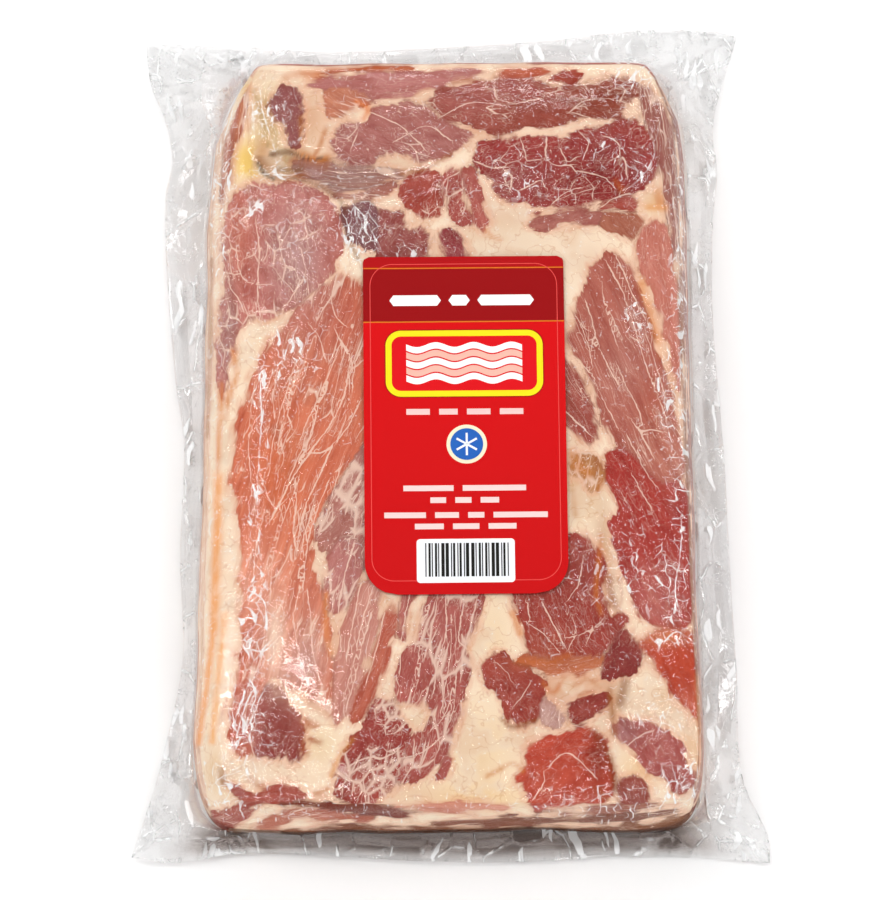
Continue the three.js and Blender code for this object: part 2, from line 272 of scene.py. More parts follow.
# Lean meat on the block's face. Each muscle has its tone through the film, the way that its fibres run in
# degrees from +X, how many times longer than wide its bundles are, how much marbling it has, and its outline.
muscles = {
    "headStrip": ("BC7B76", 4, 5, 0.3, [
        (-57, 136), (-44, 139.5), (-28, 141.8), (-10, 141), (0, 142), (11, 142.5), (13, 140.5), (0, 138.5),
        (-8, 135), (-19, 130.8), (-30, 130.6), (-40, 133)]),
    "headRind": ("B5603F", 4, 6, 0.2, [
        (-52, 141.6), (-35, 143.8), (-22, 144.8), (-15, 143.4), (-20, 142.6), (-35, 142)]),
    "headGlow": ("BE6045", 5, 4, 0.2, [
        (20, 139.8), (26, 142.4), (38, 142.2), (39.5, 140.6), (33, 139.4), (25, 139)]),
    "headKnob": ("A94537", 20, 2, 0.2, [
        (38, 137.6), (42, 140.8), (48, 141.6), (51.5, 139.6), (50, 136.8), (44, 137.2)]),
    "headLobe": ("B0706A", 150, 2, 0.7, [
        (-46, 106), (-46.5, 113), (-44, 118.5), (-38, 120.2), (-33, 119.5), (-30, 124), (-24, 127),
        (-16, 127.6), (-9, 126), (-5, 121), (2, 117.5), (7, 114.5), (5, 110.5), (0, 107), (-6, 103.6),
        (-14, 103.4), (-19, 105.6), (-29, 105.6), (-32, 101.5), (-38, 101), (-43, 102.5)]),
    "headMuscle": ("9C4E42", 170, 2, 0.7, [
        (-10, 129.5), (-2, 133.5), (10, 136.5), (20, 138.8), (34, 138), (47, 135.3), (58, 137),
        (67, 139.3), (73, 136.5), (76, 132.5), (73, 129), (69.5, 126.5), (67.5, 122.8), (61, 121.6),
        (54, 122.3), (46, 119.5), (38, 118), (30, 118.3), (25, 116), (19, 114.8), (13, 117.5), (7, 119),
        (0, 119.8), (-4, 123), (-7, 126.5)]),
    "ovalMuscle": ("9E403D", 20, 1.6, 0.6, [
        (10, 104), (11, 108.5), (20, 111.3), (30, 113), (44, 113.4), (52, 115.8), (60, 117.5), (70, 120.5),
        (77, 119.5), (81, 112), (83, 104), (81, 97), (77, 92), (70, 88.8), (60, 86.5), (50, 85), (41, 85),
        (33, 86.5), (26, 86.5), (20, 89), (16, 94), (12, 99.5)]),
    "ovalHem": ("B4584C", 8, 5, 0.5, [
        (60, 84.5), (66, 87.3), (72, 88.2), (74, 85), (72, 83), (66, 83.2)]),
    "slimMauve": ("AE6C62", 12, 3, 0.3, [
        (32, 75.5), (35, 80), (39, 79.8), (44, 82), (52, 82.6), (58, 81.4), (61, 79.5), (56, 77.4),
        (48, 77), (40, 75.2)]),
    "brownRight": ("B2705A", 130, 3, 0.4, [
        (60, 79), (64, 82), (70, 81), (76, 78.5), (74, 73.5), (71, 71.3), (67, 74), (62, 76.5)]),
    "rightEdge": ("CC8272", 97, 5, 0.5, [
        (78, 75), (84, 77), (88, 70), (89.5, 58), (91, 40), (91.5, 25), (91.5, 8), (88.5, 18), (86, 28),
        (83, 40), (79.5, 52), (76, 60), (75.5, 68)]),
    "rightMuscle": ("B4685A", 114, 8, 0.5, [
        (61, 63), (66, 62.5), (70, 60), (73, 55), (75, 47), (79, 38), (81, 28), (84, 15), (87, 5),
        (90, -8), (92, -18), (92.5, -27), (85, -30), (80, -29), (75, -24), (70, -18), (66, -16), (63, -10),
        (60, -3), (57, 7), (53, 17), (49, 23), (47, 28), (50, 36), (52, 45), (56, 55)]),
    "innerRight": ("A4554B", 118, 5, 0.5, [
        (40, 20), (47, 18), (51, 14), (55, 5), (57, -4), (58, -13), (55, -15), (51, -12), (47, -7),
        (40, -5)]),
    "rightDeep": ("AC3F38", 118, 4, 0.35, [
        (62, -20), (67, -17), (72, -18.5), (78, -25), (84, -31.5), (90, -29), (94, -35), (95, -50),
        (95, -70), (94, -88), (85, -89), (77, -86), (72, -80), (70, -72), (66, -60), (64, -48), (67, -41),
        (64, -33), (62, -27)]),
    "ochreBit": ("BC8558", 80, 2, 1.3, [
        (47, -20), (52, -19), (57, -22), (59, -28), (56, -33), (52, -30), (48, -27)]),
    "emberBit": ("BC4A33", 110, 3, 0.25, [
        (76, -92), (82, -90.5), (90, -90.5), (96, -92), (98, -105), (99, -118), (97, -126), (92, -122),
        (87, -113.5), (82, -108.5), (80, -104), (77, -100), (74, -96.5)]),
    "plumLeft": ("8E3C39", 70, 2, 0.4, [
        (63, -97), (66, -92.5), (70, -91.8), (73, -96), (74, -103), (70, -108), (66, -105), (64, -110),
        (59, -110), (60, -103)]),
    "coreRight": ("A2453D", 112, 3, 0.45, [
        (24, -70), (34, -66), (45, -60), (47, -52), (57, -56), (60, -66), (59, -75), (62, -85),
        (66, -83.5), (67.5, -86), (64, -92), (62, -97), (58, -101), (50, -104), (43, -107.5), (38, -105),
        (33, -100), (31, -95), (29, -90), (27, -84)]),
    "plumRound": ("A2483E", 120, 1.6, 0.35, [
        (12, -108), (14, -103), (18, -100.5), (22, -102), (25, -105), (31, -107), (35, -112), (35, -118),
        (33, -126), (28, -128), (24, -127), (20, -120), (18, -114), (14, -112)]),
    "plumSlim": ("97423A", 20, 2, 0.4, [
        (45.5, -121), (50, -119), (56, -118), (60.5, -115.5), (60, -121), (55, -125), (49, -128),
        (46, -124.5)]),
    "brightFoot": ("BE4E3C", 25, 2.5, 0.3, [
        (31, -137), (38, -133), (45, -132.5), (50, -131), (56, -131), (60, -136), (61, -141), (62, -147),
        (62, -155), (58, -159), (50, -161), (42, -163), (34, -164), (31, -160), (28, -152), (26, -150),
        (30, -144)]),
    "mauveFoot": ("B0605A", 125, 3, 0.35, [
        (63, -128), (70, -127.6), (80, -129.5), (86, -133), (90, -140), (93, -148), (96, -152), (91, -156),
        (86, -151), (83, -148), (78, -147), (74, -141), (69, -137), (65, -133)]),
    "plumFoot": ("9C4F45", 130, 2, 0.3, [
        (66.5, -150), (71, -149), (76, -154), (74, -160), (68, -160.5), (66, -156)]),
    "leftOval": ("C0736A", 100, 1.8, 0.85, [
        (-85, 91), (-80, 94), (-70, 94.5), (-60, 93.5), (-53, 91), (-48, 84.5), (-45, 77), (-44, 70),
        (-46, 61), (-50, 52.5), (-57, 45.5), (-64, 41), (-72, 37.5), (-80, 37), (-84, 33), (-87, 25),
        (-90, 14), (-91.5, 5), (-93, 15), (-92.5, 30), (-91.5, 45), (-92, 60), (-92, 72), (-89, 84)]),
    "leftMuscle": ("D3775A", 72, 9, 0.75, [
        (-49, 51.5), (-43, 54), (-37, 51), (-31, 46), (-28, 20), (-28, 0), (-32, -12), (-40, -24),
        (-47, -34), (-53, -48), (-55.5, -60), (-52, -72), (-49, -86), (-48, -100), (-46.5, -114),
        (-46, -124), (-50, -121), (-55, -118), (-61, -113), (-68, -109), (-72, -113), (-73, -122),
        (-74, -132), (-77, -139), (-84, -139), (-86.5, -130), (-84, -112), (-82, -90), (-81.5, -66),
        (-83, -50), (-85.5, -36), (-85.5, -20), (-83, -4), (-79, 8), (-74, 22), (-68, 31), (-62, 40),
        (-56, 47)]),
    "plumCorner": ("93433F", 62, 2, 0.35, [
        (-77, -118), (-74, -112.5), (-70, -111.5), (-65, -118), (-61, -124), (-58, -130), (-59, -137),
        (-61, -143), (-66, -141), (-71, -141), (-76, -140), (-79, -132)]),
    "footLeft": ("AB5549", 10, 4, 0.3, [
        (-86, -153), (-78, -156), (-70, -152.5), (-62, -153.5), (-56.5, -156.6), (-60, -158.2),
        (-70, -158.8), (-80, -160)]),
    "footRoll": ("7E3C2E", -5, 6, 0.3, [
        (-66, -160), (-55, -158.8), (-45, -161), (-30, -162.5), (-14, -165), (-25, -166.6), (-40, -165.4),
        (-55, -162)]),
    # this plum lean's grey-mauve tone has the film's pale sheen over it painted in
    "veiledBit": ("7E4A50", 110, 1.5, 0.5, [
        (-43, 82), (-38, 86), (-33, 86), (-29, 80), (-28, 72), (-30, 66), (-36, 67), (-40.5, 72)]),
    "headTongue": ("984F4B", 60, 2, 0.5, [
        (-29, 80), (-25, 82.5), (-20, 81), (-17, 74), (-12, 75), (-9, 71), (-11, 60), (-17, 57), (-25, 57),
        (-29, 62)]),
    "islandOne": ("A84E43", 70, 1.5, 0.9, [
        (-20.5, 90), (-15, 97), (-10, 99.8), (-5, 98.5), (-4.5, 93), (-3, 87), (-5, 80.5), (-12, 80.5),
        (-18, 85.5)]),
    "islandTwo": ("AC5750", 70, 2, 0.9, [
        (-3.5, 95), (0, 100), (3.5, 98), (6.5, 93), (4, 88), (6.5, 82), (8, 77), (3, 77), (0, 81),
        (-1.5, 88)]),
    "islandThree": ("B4635A", 110, 3, 0.7, [
        (4, 98), (8, 99.5), (10.5, 95), (12.5, 90), (14, 80), (12.5, 75), (9, 79), (8, 86), (5.5, 92)]),
    "islandFour": ("97474A", 110, 2, 0.3, [
        (-4.5, 72), (0, 74.5), (4.5, 70), (6.5, 63), (5, 55), (-1, 55), (-3, 66)]),
    "headPlum": ("955654", 80, 1.5, 0.25, [
        (-71, 130), (-67, 134.5), (-63, 133.5), (-60.5, 130), (-60.5, 121), (-61, 115), (-63, 110.5),
        (-65, 113), (-66.5, 119), (-70, 122), (-72, 126)]),
    "headAmber": ("C98468", 150, 4, 1.5, [
        (-50, 134), (-45, 136.5), (-38, 135), (-33, 131), (-37, 127), (-42, 124), (-48, 121), (-50, 125)]),
    "foldBand": ("A97F77", 176, 9, 0.8, [
        (-62, 103), (-50, 102), (-38, 100.6), (-26, 100.8), (-20, 99), (-27, 96), (-33, 93.4), (-40, 91.6),
        (-46, 92.5), (-54, 97)]),
    "foldSlip": ("AA6A5C", 170, 5, 0.7, [
        (-46, 89), (-38, 90.4), (-30, 93), (-24, 96), (-24, 92), (-29, 88), (-36, 87.4)]),
    "strandOne": ("BC7C76", 66, 3, 1.5, [
        (-47, -60), (-40, -52), (-32, -52), (-32, -60), (-38, -74), (-44, -84), (-50, -78)]),
    "strandTwo": ("CB8C7E", 74, 9, 0.6, [
        (-41, -85), (-36, -74), (-30, -70), (-28, -76), (-30, -84), (-29, -90), (-32, -100), (-36, -112),
        (-39.5, -122), (-44, -128), (-46.5, -122), (-45.5, -108), (-43.5, -95)]),
    "strandThree": ("BD6550", 68, 7, 0.35, [
        (-25, -84), (-22, -82), (-22.5, -92), (-25.5, -103), (-30, -114), (-35, -124), (-38.5, -128.5),
        (-38, -120), (-33.5, -109), (-30, -98), (-27, -90)]),
    "strandFour": ("B0625A", 80, 5, 0.5, [
        (-17.5, -84), (-15, -78), (-12, -72), (-15, -72), (-19, -80), (-20, -92), (-18, -94)]),
    "marbledFoot": ("AC5A52", 76, 3, 1.3, [
        (-19, -103), (-14, -94), (-11, -84), (-7, -76), (2, -72), (12, -74), (10, -88), (6, -98),
        (6.5, -106), (4, -120), (1, -134), (-2, -141), (-9, -147), (-18, -150.5), (-23, -151), (-21, -140),
        (-16, -134), (-10, -131), (-7, -125), (-9, -120), (-14, -121), (-20, -118.5), (-20.5, -110)]),
    "clusterFoot": ("A04640", 62, 1.5, 1.8, [
        (-44, -150), (-42, -140), (-36, -132), (-33, -127), (-28, -119), (-22.5, -119.5), (-20, -126),
        (-17, -131), (-16, -138), (-16, -145), (-20, -151), (-26, -155), (-31, -159.4), (-38, -158.4),
        (-43.5, -155)]),
    "striatedLeft": ("B47A70", 64, 2.6, 1.9, [
        (-40, -24), (-34, -13), (-29, -12), (-29, -64), (-34, -66), (-38, -62), (-42, -52), (-48, -58),
        (-54, -52), (-52, -44), (-46, -34)]),
    "slipFoot": ("B2615A", 62, 4, 0.3, [
        (-6, -150.5), (-4, -147), (-2, -141), (-1, -143), (-3, -148.5)]),
    "rightShoulder": ("A8746A", 97, 12, 1.2, [
        (78, 135), (83, 129), (88, 120), (93, 110), (95.5, 96), (95, 80), (94, 64), (90, 62), (88, 80),
        (85, 96), (82, 108), (79.5, 118), (76.5, 128)]),
    "rightHem": ("AE7560", 91, 14, 1.0, [
        (92.6, 56), (94, 30), (95, 0), (96, -30), (97, -60), (98, -80), (96, -80), (95, -50), (94, -20),
        (93, 5), (92, 30)]),
    "coreTail": ("C2714E", 12, 5, 0.4, [
        (26, -103), (36, -101), (46, -99), (58, -101), (60, -104), (54, -106), (50, -110), (46, -107),
        (40, -108), (33, -105)]),
    "greyPocket": ("C49A90", 60, 2, 0.8, [
        (36, -119), (40, -121), (44, -125), (43, -129), (38, -130), (35, -125)]),
    "footCorner": ("A5463A", 20, 3, 0.3, [
        (84, -149), (90, -151), (95, -153.5), (90, -156), (86, -154)]),
    "footBandLow": ("B4664F", 12, 8, 0.6, [
        (-76, -172), (-66, -165.5), (-55, -163.4), (-44, -165), (-30, -168), (-44, -168.6), (-60, -168.4),
        (-70, -173)]),
    "footCornerLeft": ("A8564A", 35, 6, 0.6, [
        (-96, -168), (-86, -163), (-78, -158.4), (-70, -156.6), (-76, -162), (-82, -169), (-90, -174)]),
    "footRose": ("D4907A", 0, 8, 0.3, [
        (-22, -163), (-6, -160.6), (6, -160.4), (20, -163), (2, -163.8)]),
    "footBandRight": ("85503C", 3, 14, 0.7, [
        (-4, -169.6), (20, -168.8), (44, -168.4), (66, -166.6), (82, -164.4), (88, -164.6), (76, -168),
        (50, -170.6), (20, -171.8), (-4, -171.6)]),
    "footBandFloor": ("8A5638", 2, 14, 0.5, [
        (-60, -173.4), (-20, -172.8), (30, -173.6), (80, -170.6), (93, -167), (93, -177), (40, -182),
        (-30, -182), (-64, -180)]),
    "footBandUpper": ("A0604E", 3, 14, 0.7, [
        (34, -165.2), (52, -163.6), (70, -162.2), (80, -161), (70, -164), (52, -165.6)]),
    "shoulderUpper": ("B06A58", 84, 14, 1.6, [
        (-84, 138), (-82.5, 132), (-84, 120), (-88, 108), (-90, 96), (-94, 85), (-96.5, 88), (-96, 103),
        (-94, 118), (-89, 130)]),
}

# Softer patches of another tone on the lean: middle, reach, tone, strength
leanPatches = [
    ((-46, 38), (16, 22), "BC6452", 0.8), ((-60, 12), (14, 22), "D68468", 0.6),
    ((-70, -30), (14, 34), "D8764F", 0.7), ((-74, -70), (12, 18), "ECA58A", 0.8),
    ((-55, -100), (9, 24), "DDA28E", 0.85), ((-80, -125), (7, 18), "BD6558", 0.7),
    ((-62, 62), (13, 26), "BC918D", 0.9), ((-86, 70), (7, 26), "CB7B67", 0.7),
    ((-88, 30), (4, 26), "AF8580", 0.8), ((-30, 128), (14, 8), "B6766E", 0.4),
    ((5, 129), (14, 10), "B5706A", 0.5), ((62, 130), (18, 10), "8E4434", 0.85),
    ((24, 134), (10, 5), "B5706C", 0.45), ((78, 106), (6, 14), "A03C38", 0.7),
    ((62, 98), (16, 12), "882A2A", 0.85), ((25, 95), (14, 8), "98504F", 0.5),
    ((68, 16), (8, 16), "BB7C70", 0.7), ((86, -20), (7, 10), "C68270", 0.7),
    ((82, -1), (6, 12), "BF6D57", 0.6), ((80, -80), (10, 12), "C4776E", 0.7),
    ((84, -93), (9, 3.5), "D37B4F", 0.9), ((92, -118), (5, 8), "C66C56", 0.5),
    ((36, -96), (12, 8), "AF5544", 0.6), ((52, -70), (9, 12), "96443C", 0.6),
    ((38, -104), (14, 3.5), "BB7051", 0.8), ((57, -142), (5, 9), "8E3528", 0.9),
    ((40, -152), (12, 8), "C25844", 0.6), ((68, -131), (5, 6), "AC7C7B", 0.8),
    ((-8, -90), (12, 14), "C27C75", 0.5), ((-2, -130), (5, 12), "B36660", 0.5),
    ((-34, -152), (9, 5), "BB6A5C", 0.6), ((-40, 96), (10, 4), "B0908A", 0.6),
    ((-69, -94), (4.5, 15), "F0D4BE", 0.95), ((-66, -112), (5, 6), "E2B8A6", 0.7),
    ((-78, -127), (3.5, 10), "B8655B", 0.7), ((-57, -104), (6, 10), "CBA39A", 0.7),
]

# The same on the fat, which is cream where nothing else is said
fatPatches = [
    ((-81, 104), (8, 9), "F2CE74", 0.95), ((-72, 120), (9, 14), "E0C590", 0.6),
    ((-83, 138), (6, 8), "ECCB85", 0.8), ((-56, 122), (7, 14), "DDB08E", 0.85),
    ((-66, 103), (9, 4), "D2A87C", 0.7), ((20, 78), (12, 8), "E3D0BB", 0.6),
    ((12, 116), (8, 4), "DFAE90", 0.7), ((25, 68), (22, 8), "EAD8C0", 0.6),
    ((76, 46), (3, 16), "E4B48B", 0.8), ((87, 12), (3, 20), "E2B596", 0.8),
    ((82, 86), (6, 5), "E4BA88", 0.7), ((56, 60), (8, 8), "E5C9B0", 0.6),
    ((48, -38), (9, 9), "DDBE8F", 0.7), ((16, -92), (8, 16), "F1DBB4", 0.6),
    ((10, -138), (16, 16), "EFD7AB", 0.7), ((8, -158), (22, 6), "F0D093", 0.7),
    ((40, -118), (9, 9), "DDBBA4", 0.8), ((52, -110), (9, 5), "DFA97F", 0.7),
    ((84, -120), (10, 10), "E4C4A0", 0.7), ((94, -135), (5, 18), "E2B98E", 0.7),
    ((74, -146), (9, 8), "EBCB96", 0.7), ((36, -138), (8, 5), "DFB39C", 0.7),
    ((-15, -157), (14, 6), "E8CCAE", 0.7), ((-68, -146), (14, 8), "EAD2B8", 0.5),
    ((-90, -148), (7, 9), "E3BB7A", 0.8), ((-52, -136), (9, 8), "E9D2A6", 0.6),
    ((-13, -127), (5, 5), "E2C6A8", 0.6), ((-69, -92), (4, 18), "EACBAA", 0.5),
    ((-76, 24), (5, 16), "F0D9BC", 0.5), ((-95, 30), (5, 60), "F3E0C6", 0.6),
    ((-90, -90), (6, 50), "F7E3CD", 0.7), ((-35, -68), (7, 8), "E5C7AE", 0.6),
    ((-45, -97), (3, 16), "E2B79B", 0.7), ((60, -62), (4, 22), "C8986C", 0.75),
    ((52, -30), (6, 10), "D2A070", 0.6), ((62, -120), (6, 14), "CC9A70", 0.7),
    ((44, -114), (12, 5), "D9A685", 0.6), ((-40, 94), (14, 5), "C9A08C", 0.7),
    ((-26, 92), (8, 8), "DDB59A", 0.6), ((10, 84), (10, 10), "E2C0A8", 0.5),
    ((34, 80), (14, 4), "DDB296", 0.5), ((-62, 116), (4, 12), "CFA27C", 0.6),
    ((-74, 120), (5, 15), "D8C296", 0.75), ((-67, 103.6), (7, 3.4), "CBB38A", 0.85),
    ((-81, 102), (5, 8), "F4D67C", 0.9), ((-30, 124), (6, 3), "E2A878", 0.5),
]

# Brown and amber stains where the fat has dried or the cure has run, and the painted shade of one dark slit:
# line, half width, strength, tone
stainsAndShade = [
    ([(-93, -28), (-93, -60), (-94, -92)], 1.7, 0.85, "EBAE68"),
    ([(-94, -92), (-96, -108), (-98, -125), (-100, -137)], 1.2, 0.85, "EBAE68"),
    ([(-89, -84), (-90.5, -100), (-92, -115), (-94, -136)], 1.0, 0.75, "EDBB78"),
    ([(-92, 10), (-92.5, -8), (-93, -30)], 0.8, 0.8, "D9923C"),
    ([(-87, 24), (-85, 14), (-88, 6), (-90, -4)], 0.9, 0.7, "D08A3A"),
    ([(-97, 62), (-97.5, 20), (-98, -12)], 0.5, 0.7, "A8754A"),
    ([(-93, 120), (-92, 90)], 0.9, 0.5, "B0703C"), ([(-99, -20), (-99.5, -60)], 0.6, 0.3, "C9A070"),
    # painted shade: the black slit deep in the fold at the top left
    ([(-77, 104), (-75.5, 101), (-73, 98.5), (-71, 97)], 0.4, 1.0, "2A1A12"),
    ([(-77, 105), (-73, 100.4), (-68, 97.5), (-60, 99)], 1.8, 0.7, "9A6636"),
    ([(-72, 106), (-66, 107), (-60, 105), (-52, 104.5)], 0.6, 0.8, "6B4524"),
    ([(-66, 98), (-58, 96.5), (-50, 92), (-44, 87), (-41, 82)], 0.9, 0.75, "7A4A28"),
    ([(-57, 97.5), (-50, 95), (-42, 92.5), (-34, 93)], 0.5, 0.6, "7A4A3A"),
    ([(-44, 87), (-42, 78), (-40.5, 70), (-37, 62)], 0.7, 0.6, "6E4630"),
    ([(-74, 114), (-76, 108)], 2.4, 0.5, "C08E50"),
    ([(-60, 106), (-54, 104), (-50, 104.5)], 1.6, 0.8, "C4873C"),
    ([(-50, 118), (-52.5, 110), (-55, 105.5)], 0.9, 0.7, "C07A34"),
    ([(-38, 129), (-33.5, 126), (-35, 121.5)], 0.7, 0.75, "D9822E"),
    ([(-20, 99), (-10, 101), (0, 106)], 0.6, 0.7, "9A6232"),
    ([(-60.5, 122), (-60, 112)], 0.5, 0.5, "B5803E"),
    ([(-79, 134), (-76, 122), (-73.5, 110)], 0.6, 0.6, "A88A5C"),
    ([(-75, 130), (-72, 120), (-70, 110)], 0.6, 0.55, "B29A70"),
    ([(-72.5, 106.5), (-66, 107.8), (-60, 105.8)], 0.5, 0.8, "6E5230"),
    ([(-70, 101.6), (-64, 100.8), (-60, 101)], 0.5, 0.7, "80603C"),
    ([(-64, 104), (-56, 103), (-50, 101.6)], 1.0, 0.6, "A5683E"),
    ([(-52, 98), (-40, 97), (-28, 98.4)], 0.5, 0.5, "8A5C50"),
    ([(-46, 94.4), (-36, 94.6), (-24, 97)], 0.5, 0.6, "94604C"),
    ([(-88, 116), (-89, 104), (-90.5, 94)], 0.8, 0.6, "9A5C40"),
    ([(-84.5, 128), (-86, 116), (-87, 104)], 0.6, 0.5, "C98A60"),
    ([(1, 136.5), (5, 137.6), (9, 138)], 0.9, 0.9, "A8551F"),
    ([(-66, 140), (-60, 141), (-54, 140.5)], 1.6, 0.7, "C87A3A"),
    ([(-82, 134), (-78, 134)], 1.4, 0.5, "C98A4A"),
    ([(-50, 142.8), (-38, 143.6), (-28, 144)], 0.9, 0.6, "B5633A"),
    ([(66, 95), (69, 91)], 0.9, 0.7, "B8642E"), ([(79, 84), (86, 84)], 1.2, 0.6, "D9A060"),
    ([(82, 92), (84, 86)], 1.6, 0.6, "C98A4A"), ([(14, 74), (17, 71), (20, 70)], 0.4, 0.5, "C98A50"),
    ([(59, -52), (58, -64), (57, -76), (59, -84)], 0.8, 0.8, "C47A3A"),
    ([(62, -70), (63, -76), (65, -82)], 1.6, 0.8, "9A5A2C"),
    ([(66, -70), (67, -78), (64, -84)], 0.7, 0.7, "B06A34"),
    ([(60, -20), (60, -28), (58, -34)], 0.7, 0.6, "B8804A"),
    ([(48, -20), (50, -24), (54, -27)], 2.0, 0.7, "C98A44"), ([(48, -34), (49, -44)], 1.0, 0.5, "B8804A"),
    ([(24, -84), (27, -92)], 1.1, 0.7, "D08A44"),
    ([(26, -103), (38, -104), (46, -101)], 1.2, 0.5, "C97A44"),
    ([(62, -115), (63, -124), (64, -132)], 1.0, 0.7, "9A6A3A"),
    ([(68, -112), (66, -120)], 1.8, 0.7, "8A5A34"),
    ([(56, -132), (62, -142), (64, -154)], 1.2, 0.7, "7A4426"),
    ([(20, -126), (24, -129.5), (33, -127)], 0.5, 0.7, "8A5428"),
    ([(19, -146), (24, -144), (28, -147)], 0.6, 0.6, "C98A44"),
    ([(14, -149), (20, -146)], 0.5, 0.6, "C98A44"), ([(57, -154), (60, -158)], 1.2, 0.6, "9A5A34"),
    ([(-57, -127), (-53, -129)], 1.3, 0.8, "B5622C"), ([(-55, -134), (-51, -135.4)], 0.9, 0.9, "A8541F"),
    ([(-56, -126), (-58, -136), (-56, -140)], 0.8, 0.6, "A8603A"),
    ([(-48, -154), (-54, -156)], 0.7, 0.6, "C07A40"), ([(-78, -150), (-74, -153)], 1.4, 0.8, "B06A34"),
    ([(-90, -146), (-89, -152)], 0.9, 0.9, "9A6428"),
    ([(-49, -76), (-49, -90), (-47, -100)], 0.9, 0.7, "DC9A60"),
    ([(76, 52), (80, 38), (84, 22)], 1.3, 0.5, "E0A060"),
    ([(97, -110), (98, -135), (98, -150)], 1.2, 0.4, "D9A068"),
    ([(-47, -150), (-44, -142), (-38, -134)], 0.6, 0.5, "D9A455"),
    ([(36, -112), (40, -116), (44, -110)], 0.5, 0.6, "C98048"),
    ([(48, -113), (54, -111), (58, -114)], 0.6, 0.6, "C07A44"),
    ([(50, -117), (56, -115)], 0.6, 0.6, "B87040"),
]

